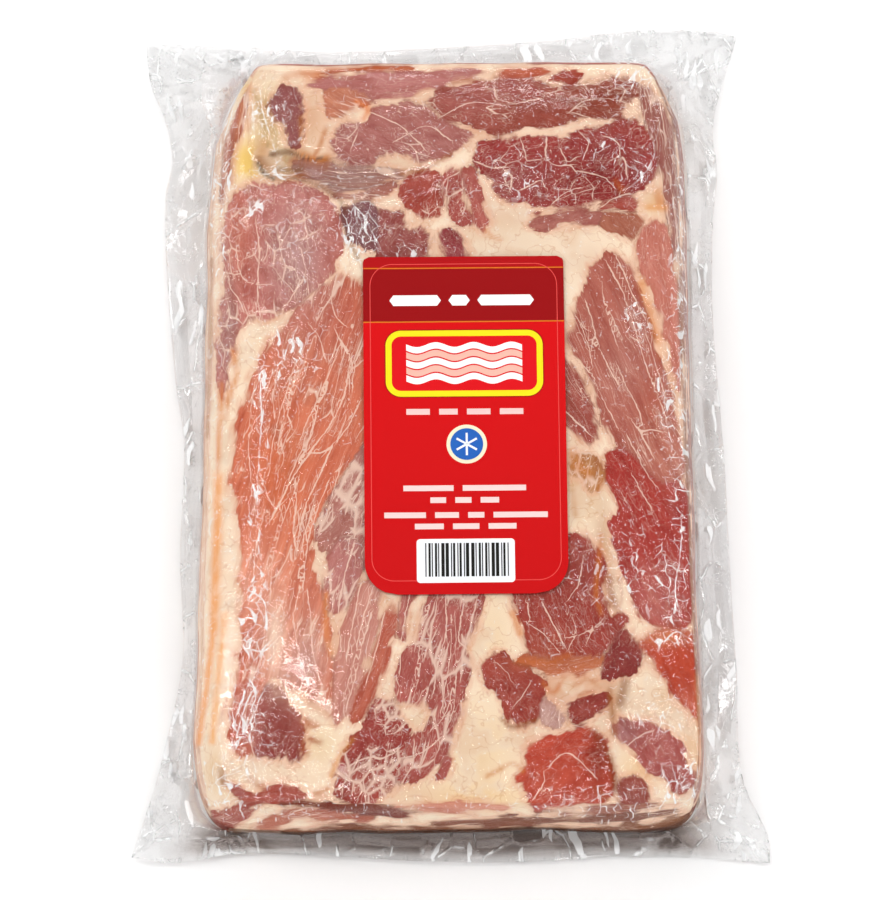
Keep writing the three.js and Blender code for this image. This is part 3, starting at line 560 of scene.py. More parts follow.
# Veins of fat that show from a step away: line and half width
veins = [
    ([(-78, 78), (-76.6, 66), (-77, 56), (-77, 46), (-76, 38)], 0.3),
    ([(-92, 62), (-88, 50), (-85, 46), (-83, 41)], 0.22),
    ([(-86, 66), (-84, 56), (-80, 52), (-72, 51)], 0.2),
    ([(-60, 66), (-58, 56), (-62, 48), (-66, 42)], 0.25),
    ([(-62, 12), (-64, 5), (-65, -2), (-63, -8)], 0.29),
    ([(-70, 6), (-70, -3), (-68, -10), (-66, -20)], 0.25),
    ([(-40, 20), (-42, 6), (-47, -6), (-54, -16), (-62, -28), (-67, -38), (-71, -46)], 0.54),
    ([(-52, 4), (-54, -6), (-57, -16), (-60, -22)], 0.5),
    ([(-36, 2), (-42, -10), (-50, -18), (-57, -19)], 0.43),
    ([(-62, -28), (-61, -38), (-62, -50), (-60, -62)], 0.5),
    ([(-46, -14), (-51, -26), (-57, -40), (-60, -52)], 0.4), ([(-46, 32), (-44, 28), (-41, 23)], 0.58),
    ([(-57, 17), (-58, 13), (-60, 10)], 0.5), ([(-49, 10), (-50, 6), (-52, 3)], 0.5),
    ([(-48, 46), (-46, 38), (-42, 34)], 0.18), ([(-56, 34), (-52, 28), (-50, 20)], 0.18),
    ([(-34, 28), (-38, 18), (-39, 8)], 0.32), ([(-75, -28), (-73, -34), (-70, -41)], 0.18),
    ([(-78, -4), (-80, -16), (-79, -28)], 0.18), ([(-58, -62), (-60, -76), (-62, -88)], 0.22),
    ([(-76, -142), (-80, -128), (-79, -114)], 0.29),
    ([(54, 44), (57, 32), (59, 25), (62, 18), (66, 10)], 0.25), ([(57, 29), (57, 26), (60, 23)], 0.58),
    ([(61, 46), (64, 38), (67, 31)], 0.25), ([(66, 63), (70, 54), (73, 46), (77, 38)], 0.32),
    ([(62, 61), (66, 53), (69, 47), (70, 40)], 0.29), ([(48, 22), (54, 16), (57, 12)], 0.36),
    ([(50, 38), (54, 28), (56, 18)], 0.18), ([(66, 18), (70, 8), (74, 0), (76, -7)], 0.22),
    ([(72, -6), (75, -9.5), (80, -9), (84, -10)], 0.29), ([(74, -8), (77, -14), (80, -20)], 0.29),
    ([(70, -12), (74, -20), (78, -28), (81, -32)], 0.22), ([(80, 12), (84, 0), (87, -12)], 0.22),
    ([(72, -28), (76, -36), (79, -41)], 0.22), ([(46, -2), (51, -7), (56, -12)], 0.29),
    ([(62, 113.5), (67, 111), (68, 106), (64, 103.4)], 0.2), ([(52, 115), (55.5, 111), (54, 106.5)], 0.2),
    ([(38.6, 113), (38, 108), (38.6, 104), (42, 101.5), (48, 101), (50, 99)], 0.4),
    ([(44, 108), (47, 103), (51, 105)], 0.29), ([(28, 112), (30, 106), (31, 103.5), (36, 103.5)], 0.25),
    ([(51, 99), (58, 97.6), (62, 96), (65, 93)], 0.25), ([(68, 106), (70, 103), (70.6, 97)], 0.43),
    ([(10, 103), (16, 100.4), (22, 100.6)], 0.36), ([(22, 99), (24.5, 96.5), (24, 92)], 0.58),
    ([(28, 91), (32, 93), (36, 95), (38, 92)], 0.32), ([(41, 85.5), (46, 90), (52, 92)], 0.18),
    ([(60, 83.8), (66, 88), (72, 90)], 0.29), ([(34, 138), (38, 140), (44, 143)], 0.32),
    ([(-4, 122), (8, 128), (22, 127), (36, 130)], 0.22), ([(14, 126), (18, 123.5)], 0.5),
    ([(48, 124), (54, 129), (64, 130)], 0.22), ([(-44, 128), (-32, 124), (-20, 118), (-10, 108)], 0.22),
    ([(-38, 114), (-40, 108)], 0.29), ([(-22, 112), (-10, 118), (0, 112)], 0.22),
    ([(30, -88), (36, -92), (42, -99)], 0.29), ([(31, -86), (30, -80)], 0.36),
    ([(36, -80), (40, -88), (44, -96)], 0.29), ([(52, -62), (50, -72), (46, -78)], 0.29),
    ([(46, -98), (49, -92), (48, -86)], 0.25), ([(60, -88), (52, -92), (46, -94)], 0.22),
    ([(53, -96), (56, -90), (60, -86)], 0.25), ([(66, -140), (72, -134), (78, -131)], 0.22),
    ([(38, -146), (42, -141), (46, -140), (50, -143), (56, -149)], 0.25),
    ([(32, -158), (36, -152), (36, -147)], 0.25), ([(24, -122), (28, -117), (31, -112)], 0.18),
    ([(18, -104), (22, -108), (24, -112)], 0.14), ([(-2, -78), (-2, -92), (-5, -104), (-7, -116)], 0.32),
    ([(5, -80), (3, -94), (6, -98)], 0.36), ([(-8, -80), (-12, -92), (-12, -106), (-15, -119)], 0.25),
    ([(1, -112), (-2, -124), (-8, -131)], 0.29), ([(-30, -72), (-35, -88), (-38, -104), (-42, -118)], 0.22),
    ([(-4, -134), (-12, -140), (-20, -142)], 0.29), ([(-33, -158), (-34, -148), (-31, -141)], 0.3),
    ([(-31, -141), (-26, -142), (-20, -138)], 0.4), ([(-42, -146), (-36, -143), (-31, -141)], 0.3),
    ([(-62, 18), (-66, 4), (-70, -12), (-72, -28)], 0.14),
    ([(-54, 30), (-60, 14), (-64, 0), (-68, -16)], 0.14),
    ([(-44, 26), (-50, 10), (-56, -4), (-60, -14)], 0.16), ([(-78, 10), (-80, -10), (-79, -30)], 0.12),
    ([(-60, -30), (-66, -46), (-70, -62), (-71, -78)], 0.2), ([(-54, -40), (-58, -54), (-60, -70)], 0.26),
    ([(-48, -30), (-54, -46), (-57, -60), (-58, -74)], 0.3), ([(-44, -26), (-48, -40), (-52, -52)], 0.34),
    ([(-66, -40), (-70, -56), (-74, -70)], 0.14), ([(-74, -44), (-77, -60), (-78, -76)], 0.12),
    ([(-57, -70), (-55, -86), (-54, -100), (-50, -116)], 0.24), ([(-62, -84), (-60, -98), (-56, -112)], 0.16),
    ([(-38, -56), (-42, -70), (-44, -84), (-43, -98)], 0.36), ([(-35, -70), (-38, -86), (-41, -102)], 0.3),
    ([(-31, -84), (-35, -98), (-38, -112), (-41, -122)], 0.3), ([(-26, -84), (-29, -98), (-33, -112)], 0.24),
    ([(-16, -76), (-19, -92), (-20, -108)], 0.3), ([(-10, -82), (-12, -96), (-14, -110)], 0.2),
    ([(0, -84), (0, -98), (-2, -112), (-4, -124)], 0.2), ([(2, -108), (1, -122), (-3, -134)], 0.16),
    ([(70, 44), (74, 30), (78, 16), (82, 4)], 0.14), ([(60, 52), (62, 40), (66, 26)], 0.14),
    ([(56, 14), (60, 4), (66, -8)], 0.14), ([(78, 30), (82, 16), (86, 2)], 0.12),
]


# Distance of each place to a line, with the side of the line that it lies on as its sign
def lineDistance(px, py, line):
    best = np.full(len(px), 1e9)
    side = np.ones(len(px))
    for (sx, sy), (dx, dy) in zip(line[:-1], line[1:] - line[:-1]):
        length = max(dx * dx + dy * dy, 1e-9)
        t = np.clip(((px - sx) * dx + (py - sy) * dy) / length, 0, 1)
        ox, oy = px - sx - dx * t, py - sy - dy * t
        away = np.hypot(ox, oy)
        nearer = away < best
        best = np.where(nearer, away, best)
        side = np.where(nearer, np.sign(dx * oy - dy * ox + 1e-12), side)
    return best, side


def placesNear(px, py, line, reach):
    low, high = line.min(axis=0) - reach, line.max(axis=0) + reach
    return np.flatnonzero((px > low[0]) & (px < high[0]) & (py > low[1]) & (py < high[1]))


def insideLoop(px, py, loop):
    inside = np.zeros(len(px), bool)
    for (ax, ay), (bx, by) in zip(loop, np.roll(loop, -1, axis=0)):
        if ay != by:
            crosses = ((ay > py) != (by > py)) & (px < (bx - ax) * (py - ay) / (by - ay) + ax)
            inside ^= crosses
    return inside


# How far inside the nearest muscle each place of the face is, and what that muscle is like
def readMuscles(px, py):
    depth = np.full(len(px), -12.0)
    tone = np.tile(underFilm("B4605A"), (len(px), 1))
    grain = np.zeros((len(px), 3))
    marbling = np.full(len(px), 0.4)
    reach = 12
    for number, (code, runs, longer, marbled, outline) in enumerate(muscles.values()):
        loop = flowingLoop(outline)
        near = placesNear(px, py, loop, reach)
        if not len(near):
            continue
        x, y = px[near], py[near]
        away, _ = lineDistance(x, y, np.vstack([loop, loop[:1]]))
        here = np.where(insideLoop(x, y, loop), away, -away)
        wins = here > depth[near]
        chosen = near[wins]
        depth[chosen] = here[wins]
        tone[chosen] = underFilm(code)
        turn = math.radians(runs)
        along = x[wins] * math.cos(turn) + y[wins] * math.sin(turn)
        across = y[wins] * math.cos(turn) - x[wins] * math.sin(turn)
        grain[chosen] = np.stack([along / longer, across, np.full(len(along), number * 7.0)], axis=1)
        marbling[chosen] = marbled
    return depth, tone, grain, marbling


def addPatches(px, py, tone, patches):
    for middle, reach, code, strength in patches:
        share = strength * spot(px, py, middle, reach)[:, None]
        tone = tone * (1 - share) + underFilm(code) * share
    return tone


def readVeins(px, py):
    away, across, half = np.full(len(px), 9.0), np.full(len(px), 9.0), np.full(len(px), 0.3)
    for points, width in veins:
        line = flowingLine(points, 6)
        near = placesNear(px, py, line, 5)
        if len(near):
            distance, side = lineDistance(px[near], py[near], line)
            wins = distance < away[near]
            chosen = near[wins]
            away[chosen] = distance[wins]
            across[chosen] = (distance * side)[wins]
            half[chosen] = width
    return away, across, half


def readStainsAndShade(px, py):
    stainAndShade, tone = np.zeros(len(px)), np.tile(underFilm("C98A44"), (len(px), 1))
    for points, half, strength, code in stainsAndShade:
        distance, _ = lineDistance(px, py, flowingLine(points, 4))
        here = strength * np.exp(-((distance / max(half * 1.3, 1.0)) ** 2))
        wins = here > stainAndShade
        stainAndShade = np.where(wins, here, stainAndShade)
        tone[wins] = underFilm(code)
    return stainAndShade, tone


def muscleRelief(depth):  # a muscle bulges a little and its edge is a shallow groove
    return 0.12 * smooth(0, 4, depth) - 0.1 * np.exp(-((depth / 1.2) ** 2))


# The block of bacon, a little inside the film
block = {
    "cellsAcross": 168, "cellsAlong": 270, "shoulderRings": 16, "footRings": 6, "underRings": 4,
    "insideFilm": 0.9, "underside": 1.0,
    # layers of lean that show on each side: depth below the face, half thickness, tone
    "layers": {
        "right": [(5, 1.5, "A8745C"), (11, 2.0, "9F6A60"), (18.5, 2.8, "A8655A"), (28, 3.0, "9C5A4E"),
                  (38, 2.2, "A86658")],
        "left": [(16, 0.8, "EACBAA"), (25, 1.6, "CF9A80"), (35, 2.2, "B5796A")],
        "head": [(5, 1.4, "A8503C"), (10, 2.4, "B06A60"), (18, 3.2, "9E5648"), (29, 3.2, "AE6A5E"),
                 (39, 2.0, "A05C4E")],
        "foot": [(10, 2.0, "A86A5C"), (24, 3.0, "9A5A48"), (36, 2.5, "A8705F")],
    },
}


# The layers of lean on the block's sides, which run lengthwise, wander a little and pinch out in places
def readLayers(u, v, x, y, below, layers):
    depth, tone = np.full(len(x), -12.0), np.tile(underFilm("9A5A4E"), (len(x), 1))
    endways = np.abs(v) > np.abs(u)
    run = np.where(endways, x, y)
    sides = {"right": ~endways & (u > 0), "left": ~endways & (u <= 0), "head": endways & (v > 0),
             "foot": endways & (v <= 0)}
    for seed, (side, here) in enumerate(sides.items()):
        at, level = run[here], below[here]
        bestDepth, bestTone = depth[here], tone[here]
        for number, (centre, halfThick, code) in enumerate(layers[side]):
            key = 11.3 * seed + 5.1 * number
            wander = 3.0 * roughness(at, level * 0, 55, key) + 1.0 * roughness(at, level, 14, key + 2)
            thick = halfThick * (1 + 1.2 * roughness(at, level * 0, 30, key + 4))
            inside = thick - np.abs(level - centre - wander)
            wins = inside > bestDepth
            bestDepth = np.where(wins, inside, bestDepth)
            bestTone[wins] = underFilm(code)
        depth[here], tone[here] = bestDepth, bestTone
    return depth, tone, run


# The face and shoulder that the block and the film have in common: each point's place in the blank, the side
# that it turns down to, and where it lies between the face and the waist
def overShoulder(piece, shoulderRings, drawnShare):
    blank = readPoints(piece)
    u, v, ring = blank[:, 0], blank[:, 1], np.rint(-blank[:, 2])
    faceX, faceY = outlinePoint(form["faceCorners"], u, v)
    sideX, sideY = outlinePoint(form["sideCorners"], u, v)
    sideX, sideY = unevenSide(drawnIn(u, sideX, sideY, faceX, drawnShare), sideY)
    top = faceHeight(faceX, faceY)
    turn = np.clip(ring / shoulderRings, 0, 1) * math.pi / 2
    x = faceX + (sideX - faceX) * np.sin(turn)
    y = faceY + (sideY - faceY) * np.sin(turn)
    z = form["waistHeight"] + (top - form["waistHeight"]) * np.cos(turn)
    return u, v, ring, sideX, sideY, x, y, z


def roundTheFoot(sideX, sideY, v, foot):  # how much nearer the middle a point is once it has turned in below
    length = np.maximum(np.hypot(sideX, sideY), 1e-6)
    return (length - footInset(v) * (1 - np.cos(foot))) / length


def buildBlock(b):
    rings = b["shoulderRings"] + b["footRings"] + b["underRings"] + 1
    piece = ringedBlank("baconBlock", b["cellsAcross"], b["cellsAlong"], rings)
    u, v, ring, sideX, sideY, x, y, z = overShoulder(piece, b["shoulderRings"], 1.0)
    middle = np.maximum(np.abs(u), np.abs(v)) < 1e-6
    # below the waist the side turns in to the foot, and the last rings close the underside
    foot = np.clip((ring - b["shoulderRings"]) / b["footRings"], 0, 1) * math.pi / 2
    drawn = roundTheFoot(sideX, sideY, v, foot)
    low = foot > 0
    x, y = np.where(low, sideX * drawn, x), np.where(low, sideY * drawn, y)
    z = np.where(low, form["waistHeight"] * (1 - np.sin(foot)), z)
    under = np.clip((ring - b["shoulderRings"] - b["footRings"]) / (b["underRings"] + 1), 0, 1)
    x, y = x * (1 - under), y * (1 - under)
    closing = middle & (ring > 0)
    x, y, z = np.where(closing, 0, x), np.where(closing, 0, y), np.where(closing, 0, z)
    setPoints(piece, x, y, z)
    finishSurface(piece)
    normals = np.empty(len(x) * 3)
    piece.data.vertices.foreach_get("normal", normals)
    n = normals.reshape(-1, 3)

    # The pattern is read where the photo sees it; where it doesn't look, the layers take over
    up = math.radians(view["elevation"])
    mapX, mapY = x, y + (z - form["blockHeight"]) / math.tan(up) * smooth(0.02, 0.3, 1 - n[:, 2])
    facing = n[:, 2] * math.sin(up) - n[:, 1] * math.cos(up)
    needed = 0.5 - 0.32 * smooth(0.3, 0.8, -n[:, 1])
    sideways = 1 - smooth(needed - 0.15, needed, facing)
    depth, lean, grain, marbling = readMuscles(mapX, mapY)
    fat = np.tile(underFilm("FBEDD6"), (len(x), 1))
    lean = addPatches(mapX, mapY, lean, leanPatches)
    fat = addPatches(mapX, mapY, fat, fatPatches)
    away, across, half = readVeins(mapX, mapY)
    stainAndShade, stainAndShadeTone = readStainsAndShade(mapX, mapY)
    below = form["blockHeight"] - z
    layerDepth, layerTone, run = readLayers(u, v, x, y, below, b["layers"])
    depth = depth * (1 - sideways) + layerDepth * sideways
    lean = lean * (1 - sideways[:, None]) + layerTone * sideways[:, None]
    layerGrain = np.stack([run / 12, below, np.full(len(x), 99.0)], axis=1)
    grain = np.where(sideways[:, None] > 0.5, layerGrain, grain)
    away = away + 9 * sideways
    stainAndShade = stainAndShade * (1 - sideways * smooth(0.5, 0.9, np.abs(n[:, 1])))
    marbling = marbling * (1 - sideways) + 0.6 * sideways
    # how thickly glints of the film's shine are painted on the meat: more where the film is gathered and on
    # the shoulders, none underneath
    upper = smooth(0.05, 0.2, n[:, 2])
    liftedShine = (0.05 + gatherAt(x, y) + 0.2 * (1 - smooth(0.4, 0.9, n[:, 2]))) * upper
    rise = muscleRelief(depth) * smooth(0.2, 0.8, n[:, 2]) - b["insideFilm"]
    z = np.where(low & (z < b["underside"]), b["underside"], z)
    setPoints(piece, x + n[:, 0] * rise, y + n[:, 1] * rise, np.maximum(z + n[:, 2] * rise, b["underside"]))
    for name, tones in {"leanTone": lean, "fatTone": fat, "stainAndShadeTone": stainAndShadeTone}.items():
        giveColours(piece, name, tones)
    giveVectors(piece, "grain", grain)
    for name, values in {"leanDepth": depth, "marbling": marbling, "veinAway": away, "veinAcross": across,
                         "veinHalf": half, "stainAndShade": stainAndShade, "liftedShine": liftedShine,
                         "pleatAcross": pleatDistance(x, y)}.items():
        giveNumbers(piece, name, values)
    return piece


# Adds a node with its settings and links. A node given as an input stands for its first output in use.
def addNode(tree, kind, inputs=None, **settings):
    node = tree.nodes.new("ShaderNode" + kind)
    for name, value in settings.items():
        setattr(node, name, value)
    for name, value in (inputs or {}).items():
        if isinstance(value, bpy.types.Node):
            value = next(output for output in value.outputs if output.enabled)
        if isinstance(value, bpy.types.NodeSocket):
            tree.links.new(value, node.inputs[name])
        else:
            node.inputs[name].default_value = value
    return node


def fromMiddle(add, field):  # how far a noise is from its middle value: thin winding lines where it is none
    away = add("Math", {0: field, 1: 0.5}, operation="SUBTRACT")
    return add("Math", {0: away}, operation="ABSOLUTE")


def newMaterial(name):  # a bare material, and addNode for its own tree
    material = bpy.data.materials.new(name)
    material.use_nodes = True
    material.node_tree.nodes.clear()
    return material, partial(addNode, material.node_tree)


perMm = 1 / mm  # a texture scale of perMm / 5 gives a 5 mm pattern on Object coordinates
mixA, mixB = 6, 7  # the colour sockets of a Mix node


# Cured pork belly, cut and pressed: moist dark lean with pale fibres and veins, and dense waxy cream fat.
# It gives the eye ragged edges between the two and fine lines along the muscle. The film clings to it, so
# that nearly all of its shine is the film's, and glints of the film's shine are also painted into its colour.
def curedPorkMaterial():
    material, add = newMaterial("curedPork")
    place = add("TexCoord").outputs["Object"]
    read = {name: add("Attribute", attribute_name=name).outputs for name in ("leanDepth", "leanTone",
            "fatTone", "grain", "marbling", "veinAway", "veinAcross", "veinHalf", "stainAndShade", "stainAndShadeTone",
            "liftedShine", "pleatAcross")}

    # the grain wanders by some millimetres, so that no fibre is straight
    drift = add("TexNoise", {"Vector": place, "Scale": perMm / 14})
    drifted = add("VectorMath", {0: drift.outputs["Color"], 1: (0.5, 0.5, 0.5)}, operation="SUBTRACT")
    shift = add("VectorMath", {0: drifted, "Scale": 3.5}, operation="SCALE")
    grain = add("VectorMath", {0: read["grain"]["Vector"], 1: shift}, operation="ADD")
    fibres = add("TexNoise", {"Vector": grain, "Scale": 1 / 0.9, "Detail": 3.0, "Roughness": 0.6})
    bundles = add("TexNoise", {"Vector": grain, "Scale": 1 / 4, "Detail": 3.0, "Roughness": 0.55})

    # uneven edge between lean and fat: bites of 9 mm, and fat that runs in between the bundles
    bites = add("TexNoise", {"Vector": place, "Scale": perMm / 9, "Roughness": 0.35})
    bite = add("MapRange", {"Value": bites.outputs["Fac"], "From Min": 0.25, "From Max": 0.75, "To Max": 3.0})
    runs = add("TexNoise", {"Vector": grain, "Scale": 1 / 2.2, "Detail": 3.0, "Roughness": 0.6})
    inlets = add("TexNoise", {"Vector": grain, "Scale": 1 / 1.8})
    inlet = add("MapRange", {"Value": inlets.outputs["Fac"], "From Min": 0.3, "From Max": 0.7, "To Min": -0.9,
            "To Max": 0.9})
    edge = add("Math", {0: bite, 1: inlet}, operation="ADD")
    depth = add("Math", {0: read["leanDepth"]["Fac"], 1: edge}, operation="ADD")
    thinning = add("TexNoise", {"Vector": place, "Scale": perMm / 14})
    softness = add("MapRange", {"Value": thinning.outputs["Fac"], "From Min": 0.35, "From Max": 0.65,
            "To Min": 0.3, "To Max": 2.8})
    leanMask = add("MapRange", {"Value": depth, "From Min": -0.2, "From Max": softness},
            interpolation_type="SMOOTHSTEP")

    # lean: darker and paler bundles of 4 mm, then fibres of 0.9 mm
    darker = add("VectorMath", {0: read["leanTone"]["Color"], 1: (0.84, 0.70, 0.68)}, operation="MULTIPLY")
    paler = add("VectorMath", {0: read["leanTone"]["Color"], 1: (1.12, 1.22, 1.25)}, operation="MULTIPLY")
    bundleShare = add("MapRange", {"Value": bundles.outputs["Fac"], "From Min": 0.32, "From Max": 0.66})
    lean = add("Mix", {0: bundleShare, mixA: darker, mixB: paler}, data_type="RGBA")
    fibreShare = add("MapRange", {"Value": fibres.outputs["Fac"], "From Min": 0.5, "From Max": 0.75,
            "To Max": 0.55})
    fibreTone = add("VectorMath", {0: read["leanTone"]["Color"], 1: (1.22, 1.55, 1.6)}, operation="MULTIPLY")
    lean = add("Mix", {0: fibreShare, mixA: lean, mixB: fibreTone}, data_type="RGBA")

    # marbling comes and goes over some 14 mm: branching veins, a net round the bundles, hairs and flecks
    amount = add("MapRange", {"Value": thinning.outputs["Fac"], "From Min": 0.36, "From Max": 0.62,
            "To Min": 0.1})
    amount = add("Math", {0: amount, 1: read["marbling"]["Fac"]}, operation="MULTIPLY")

    # the lean is a little darker and browner just inside its edge
    hem = add("MapRange", {"Value": depth, "From Min": 2.2, "From Max": 0.6, "To Max": 0.6},
            interpolation_type="SMOOTHSTEP")
    hemTone = add("VectorMath", {0: lean, 1: (0.84, 0.70, 0.62)}, operation="MULTIPLY")
    lean = add("Mix", {0: hem, mixA: lean, mixB: hemTone}, data_type="RGBA")

    def ridges(pitch, width, detail):  # lines where a noise passes through its middle value
        field = add("TexNoise", {"Vector": grain, "Scale": 1 / pitch, "Detail": detail,
                "Roughness": 0.6}).outputs["Fac"]
        reach = add("Math", {0: amount, 1: width}, operation="MULTIPLY")
        return add("MapRange", {"Value": fromMiddle(add, field), "From Min": reach, "From Max": 0.0},
                interpolation_type="SMOOTHSTEP")

    branching = ridges(5.5, 0.016, 2.0)
    hairs = ridges(2.2, 0.03, 2.0)
    hairs = add("Math", {0: hairs, 1: 0.5}, operation="MULTIPLY")
    # the finest lines wander every way, under a millimetre apart, and come and go
    finest = add("TexNoise", {"Vector": place, "Scale": perMm / 1.7, "Distortion": 0.6})
    finest = add("MapRange", {"Value": fromMiddle(add, finest), "From Min": 0.022, "From Max": 0.0})
    frosted = add("MapRange", {"Value": drift.outputs["Fac"], "From Min": 0.4, "From Max": 0.6,
            "To Min": 0.06, "To Max": 0.26})
    finest = add("Math", {0: finest, 1: frosted}, operation="MULTIPLY")
    netScale = 1 / 4.8
    net = add("TexVoronoi", {"Vector": grain, "Scale": netScale}, feature="DISTANCE_TO_EDGE",
            voronoi_dimensions="2D").outputs["Distance"]
    bundle = add("TexVoronoi", {"Vector": grain, "Scale": netScale}, voronoi_dimensions="2D").outputs["Color"]
    bundle = add("MapRange", {"Value": bundle, "To Min": 0.8, "To Max": 1.16})
    netOnly = add("Math", {0: amount, 1: 0.42}, operation="SUBTRACT")
    bundled = add("MapRange", {"Value": netOnly, "From Max": 0.3})
    bundleTone = add("VectorMath", {0: lean, "Scale": bundle}, operation="SCALE")
    lean = add("Mix", {0: bundled, mixA: lean, mixB: bundleTone}, data_type="RGBA")
    netWidth = add("MapRange", {"Value": runs.outputs["Fac"], "From Min": 0.35, "From Max": 0.65,
            "To Min": 0.12, "To Max": 0.4})
    netWidth = add("Math", {0: netOnly, 1: netWidth}, operation="MULTIPLY")
    netWidth = add("Math", {0: netWidth, 1: 0.0001}, operation="MAXIMUM")
    netVein = add("MapRange", {"Value": net, "From Min": netWidth, "From Max": 0.0},
            interpolation_type="SMOOTHSTEP")
    flecks = add("TexNoise", {"Vector": grain, "Scale": 1 / 1.3}).outputs["Fac"]
    fleck = add("MapRange", {"Value": flecks, "From Min": 0.6, "From Max": 0.72, "To Max": 0.7})
    fleck = add("Math", {0: fleck, 1: amount}, operation="MULTIPLY")

    # the veins that were placed one by one
    nick = add("TexNoise", {"Vector": place, "Scale": perMm / 3.4, "Detail": 4.0, "Roughness": 0.65})
    wobble = add("MapRange", {"Value": nick.outputs["Fac"], "To Min": -0.9, "To Max": 0.9})
    across = add("Math", {0: read["veinAcross"]["Fac"], 1: wobble}, operation="ADD")
    across = add("Math", {0: across}, operation="ABSOLUTE")
    breadth = add("MapRange", {"Value": bites.outputs["Fac"], "From Min": 0.3, "From Max": 0.7,
            "To Max": 0.95})
    half = add("Math", {0: read["veinHalf"]["Fac"], 1: breadth}, operation="MULTIPLY")
    outer = add("Math", {0: half, 1: 0.16}, operation="ADD")
    placed = add("MapRange", {"Value": across, "From Min": outer, "From Max": half},
            interpolation_type="SMOOTHSTEP")
    close = add("MapRange", {"Value": read["veinAway"]["Fac"], "From Min": 2.2, "From Max": 1.6})
    placed = add("Math", {0: placed, 1: close}, operation="MULTIPLY")
    veined = placed
    for share in (branching, hairs, finest, netVein, fleck):
        veined = add("Math", {0: veined, 1: share}, operation="MAXIMUM")
    veined = add("Math", {0: veined, 1: 0.9}, operation="MULTIPLY")
    veinTone = add("Mix", {0: 0.12, mixA: colour("FAE4D2"), mixB: read["leanTone"]["Color"]},
            data_type="RGBA")
    lean = add("Mix", {0: veined, mixA: lean, mixB: veinTone}, data_type="RGBA")

    # fat: cloudy over 9 mm, crossed by faint amber lines, and blushing pink where it meets the lean
    clouds = add("TexNoise", {"Vector": place, "Scale": perMm / 9, "Detail": 2.5})
    cloudy = add("MapRange", {"Value": clouds.outputs["Fac"], "From Min": 0.45, "From Max": 0.75,
            "To Max": 0.3})
    fat = add("Mix", {0: cloudy, mixA: read["fatTone"]["Color"], mixB: colour("EACBA2")}, data_type="RGBA")
    dense = add("MapRange", {"Value": thinning.outputs["Fac"], "From Min": 0.5, "From Max": 0.6,
            "To Max": 0.6}, interpolation_type="SMOOTHSTEP")
    fat = add("Mix", {0: dense, mixA: fat, mixB: colour("F8EEDC")}, data_type="RGBA")
    cured = add("MapRange", {"Value": drift.outputs["Fac"], "From Min": 0.5, "From Max": 0.68, "To Max": 0.3},
            interpolation_type="SMOOTHSTEP")
    fat = add("Mix", {0: cured, mixA: fat, mixB: colour("E0AC74")}, data_type="RGBA")
    wisp = add("MapRange", {"Value": runs.outputs["Fac"], "From Min": 0.55, "From Max": 0.68, "To Max": 0.42},
            interpolation_type="SMOOTHSTEP")
    nearLean = add("MapRange", {"Value": depth, "From Min": -5.0, "From Max": -0.5})
    wisp = add("Math", {0: wisp, 1: nearLean}, operation="MULTIPLY")
    fat = add("Mix", {0: wisp, mixA: fat, mixB: colour("CF8C74")}, data_type="RGBA")
    crack = add("MapRange", {"Value": fromMiddle(add, clouds), "From Min": 0.014, "From Max": 0.0,
            "To Max": 0.38})
    fat = add("Mix", {0: crack, mixA: fat, mixB: colour("CF9058")}, data_type="RGBA")
    blush = add("MapRange", {"Value": depth, "From Min": -2.8, "From Max": 0.2, "To Max": 0.45},
            interpolation_type="SMOOTHSTEP")
    fat = add("Mix", {0: blush, mixA: fat, mixB: colour("E9AE8C")}, data_type="RGBA")

    both = add("Mix", {0: leanMask, mixA: fat, mixB: lean}, data_type="RGBA")
    seep = add("MapRange", {"Value": bites.outputs["Fac"], "From Min": 0.32, "From Max": 0.58,
            "To Min": 0.55})
    stainedOrShaded = add("Math", {0: read["stainAndShade"]["Fac"], 1: seep}, operation="MULTIPLY")
    stainAndShadeColour = add("VectorMath", {0: read["stainAndShadeTone"]["Color"], 1: (1.12, 0.88, 0.5)}, operation="MULTIPLY")
    whole = add("Mix", {0: stainedOrShaded, mixA: both, mixB: stainAndShadeColour}, data_type="RGBA")

    # painted glints of the film's shine, put into the meat's colour: crease lines 4.5 mm apart, curls,
    # slivers and specks, all broken into short lengths and closer together where the film is gathered
    liftedShine = read["liftedShine"]["Fac"]
    glintDashes = add("TexNoise", {"Vector": place, "Scale": perMm / 3.2}).outputs["Fac"]
    glintDashes = add("Math", {0: liftedShine, 1: 0.2, 2: glintDashes}, operation="MULTIPLY_ADD")
    glintDashes = add("MapRange", {"Value": glintDashes, "From Min": 0.57, "From Max": 0.67})
    warped = add("VectorMath", {0: drifted, "Scale": 16 * mm}, operation="SCALE")
    warped = add("VectorMath", {0: place, 1: warped}, operation="ADD")
    glintCreases = add("TexVoronoi", {"Vector": warped, "Scale": perMm / 4.5}, voronoi_dimensions="2D",
            feature="DISTANCE_TO_EDGE").outputs["Distance"]
    glintCreases = add("MapRange", {"Value": glintCreases, "From Min": 0.045, "From Max": 0.015})
    glintCurls = add("TexNoise", {"Vector": place, "Scale": perMm / 2.6, "Distortion": 0.3})
    glintCurls = add("MapRange", {"Value": fromMiddle(add, glintCurls), "From Min": 0.03, "From Max": 0.008})
    glintCurling = add("MapRange", {"Value": frosted, "From Min": 0.14, "From Max": 0.34, "To Min": 0.05,
            "To Max": 0.5})
    glintCurls = add("Math", {0: glintCurls, 1: glintCurling}, operation="MULTIPLY")
    paintedGlints = add("Math", {0: glintCreases, 1: glintCurls}, operation="MAXIMUM")
    paintedGlints = add("Math", {0: paintedGlints, 1: glintDashes}, operation="MULTIPLY")
    narrow = add("VectorMath", {0: warped, 1: (1.0, 0.3, 1.0)}, operation="MULTIPLY")
